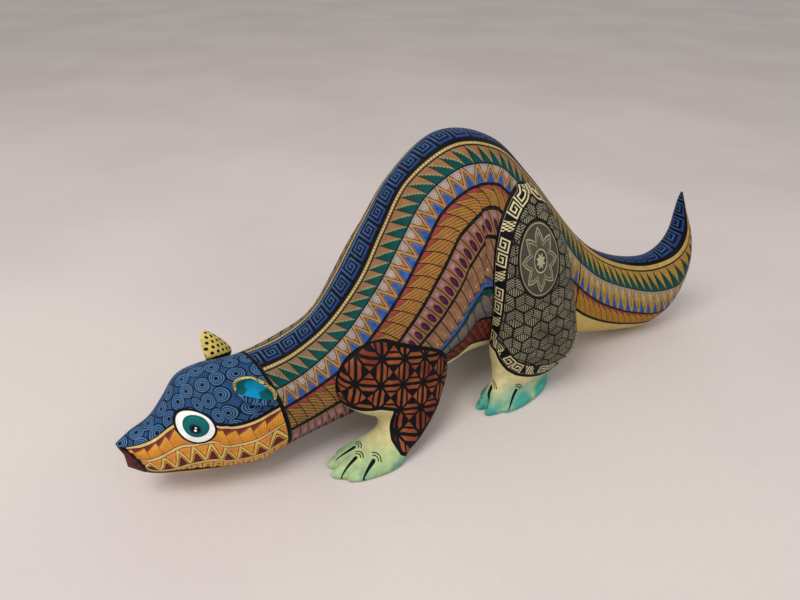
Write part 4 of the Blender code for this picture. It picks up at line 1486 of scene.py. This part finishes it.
# ---------------- build
TRUNK_PAINTS = {
    "outline": plain_paint("outline", BLACK, [((0.02, 0.019, 0.024), 420.0, 0.45, 0.75)],
                           rough=0.5, mottle=0.15),
    "key": paint_key(), "beads": paint_beads(),
    "steps": paint_steps(), "zigzag": paint_zigzag(), "feathers": paint_feathers(),
    "petals": paint_petals(), "columns": paint_columns(), "shields": paint_shields(),
    "lattice": paint_lattice(), "belly": paint_belly(),
}
TAIL_PAINTS = {key: TRUNK_PAINTS[key] for key in
               ("outline", "key", "beads", "steps", "zigzag", "feathers")}
TAIL_PAINTS["under"] = paint_belly("tail_underside", (0.56, 0.4, 0.12))
HEAD_PAINTS = {
    "outline": plain_paint("head_outline", BLACK, eye=True, rough=0.5, mottle=0.15),
    "blue": paint_swirls("blue_swirls", "flat", True),
    "stripe": plain_paint("yellow_stripe", (0.64, 0.47, 0.19), [(GOLD, 240.0, 0.45, 0.7)], True),
    "flame": paint_flame(), "spirals": paint_spirals(), "jaw": paint_jaw(),
    "chin": paint_belly("chin", (0.6, 0.36, 0.1)),
    "nose": plain_paint("nose", (0.11, 0.02, 0.022), [(BLACK, 300.0, 0.5, 0.7)]),
}

trunk = build_trunk("painted_trunk", COLLAR + SEAM, ROOT - SEAM, MARGIN, len(BANDS), "belly",
                    TRUNK_PAINTS)
tail = build_trunk("painted_tail", ROOT + SEAM, TIP, 0.0, TAIL_BANDS, "under", TAIL_PAINTS)
head = build_head(HEAD_PAINTS)

attach(trunk, "carving", "torso")
attach(tail, "carving", "tail")
attach(head, "carving", "head")

trunk_tree = BVHTree.FromObject(trunk, bpy.context.evaluated_depsgraph_get())
BARE_WOOD = paint_wood("bare_wood", (6.0, 1.0, 6.0))
cut_sockets(head, BARE_WOOD)
for kind, rows, frames, material in (("front", FRONT_LEG, FRONT_FRAMES, paint_arm()),
                                     ("hind", HIND_LEG, HIND_FRAMES, paint_haunch())):
    for word, side in (("left", 1), ("right", -1)):
        build_leg(kind, word, side, rows, frames[word], material, trunk_tree)

EAR_PAINTS = {"back": paint_ear_back(), "inside": paint_ear_inside(), "rim": paint_ear_rim(),
              "lip": paint_swirls("ear_blue", "tile"), "peg": BARE_WOOD}
for word, side in (("left", -1), ("right", 1)):
    build_ear(word, side, EAR_PAINTS)

DOWEL_WOOD = paint_wood("dowel_wood", (1.0, 6.0, 6.0))
for name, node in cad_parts.items():
    if "dowel" in name:
        node.material_slots[0].material = DOWEL_WOOD

# ---------------- stage, light and camera
bpy.context.scene.view_settings.view_transform = "Standard"
floor_mesh = bpy.data.meshes.new("floor")
floor_mesh.from_pydata([(-6, -6, 0), (6, -6, 0), (6, 6, 0), (-6, 6, 0)], [], [(0, 1, 2, 3)])
FLOOR_SPECKS = [((0.64, 0.585, 0.58), 3.0, 0.4, 0.6)]
floor_mesh.materials.append(plain_paint("floor", (0.6, 0.545, 0.55), FLOOR_SPECKS,
                                        rough=0.8, mottle=0.02, grain=False))
floor = add_object("floor", floor_mesh)

world = bpy.data.worlds.new("studio")
bpy.context.scene.world = world
world.use_nodes = True
background = world.node_tree.nodes["Background"]
background.inputs["Color"].default_value = (1.0, 0.97, 0.93, 1.0)
background.inputs["Strength"].default_value = 0.58


def aim(obj, place, direction):
    """Places a light or camera and turns it to look along a direction."""
    obj.location = place
    obj.rotation_mode = "QUATERNION"
    obj.rotation_quaternion = direction.to_track_quat("-Z", "Y")


def add_light(name, place, target, size, power, colour):
    light = bpy.data.lights.new(name, "AREA")
    light.size = size
    light.energy = power
    light.color = colour
    aim(add_object(name, light), place, Vector(target) - Vector(place))


add_light("key_light", (-0.75, -0.35, 1.3), (0, 0, 0.06), 0.7, 13.5, (1.0, 0.96, 0.9))
add_light("fill_light", (0.4, -1.3, 0.9), (0, 0, 0.05), 1.2, 4.6, (1.0, 0.98, 0.96))

camera_data = bpy.data.cameras.new("camera")
camera_data.lens = 28.8
camera_data.sensor_width = 36.0
camera = add_object("camera", camera_data)
aim(camera, (-0.2098, -0.3535, 0.3098), Vector((0.366, 0.785, -0.5)))
bpy.context.scene.camera = camera
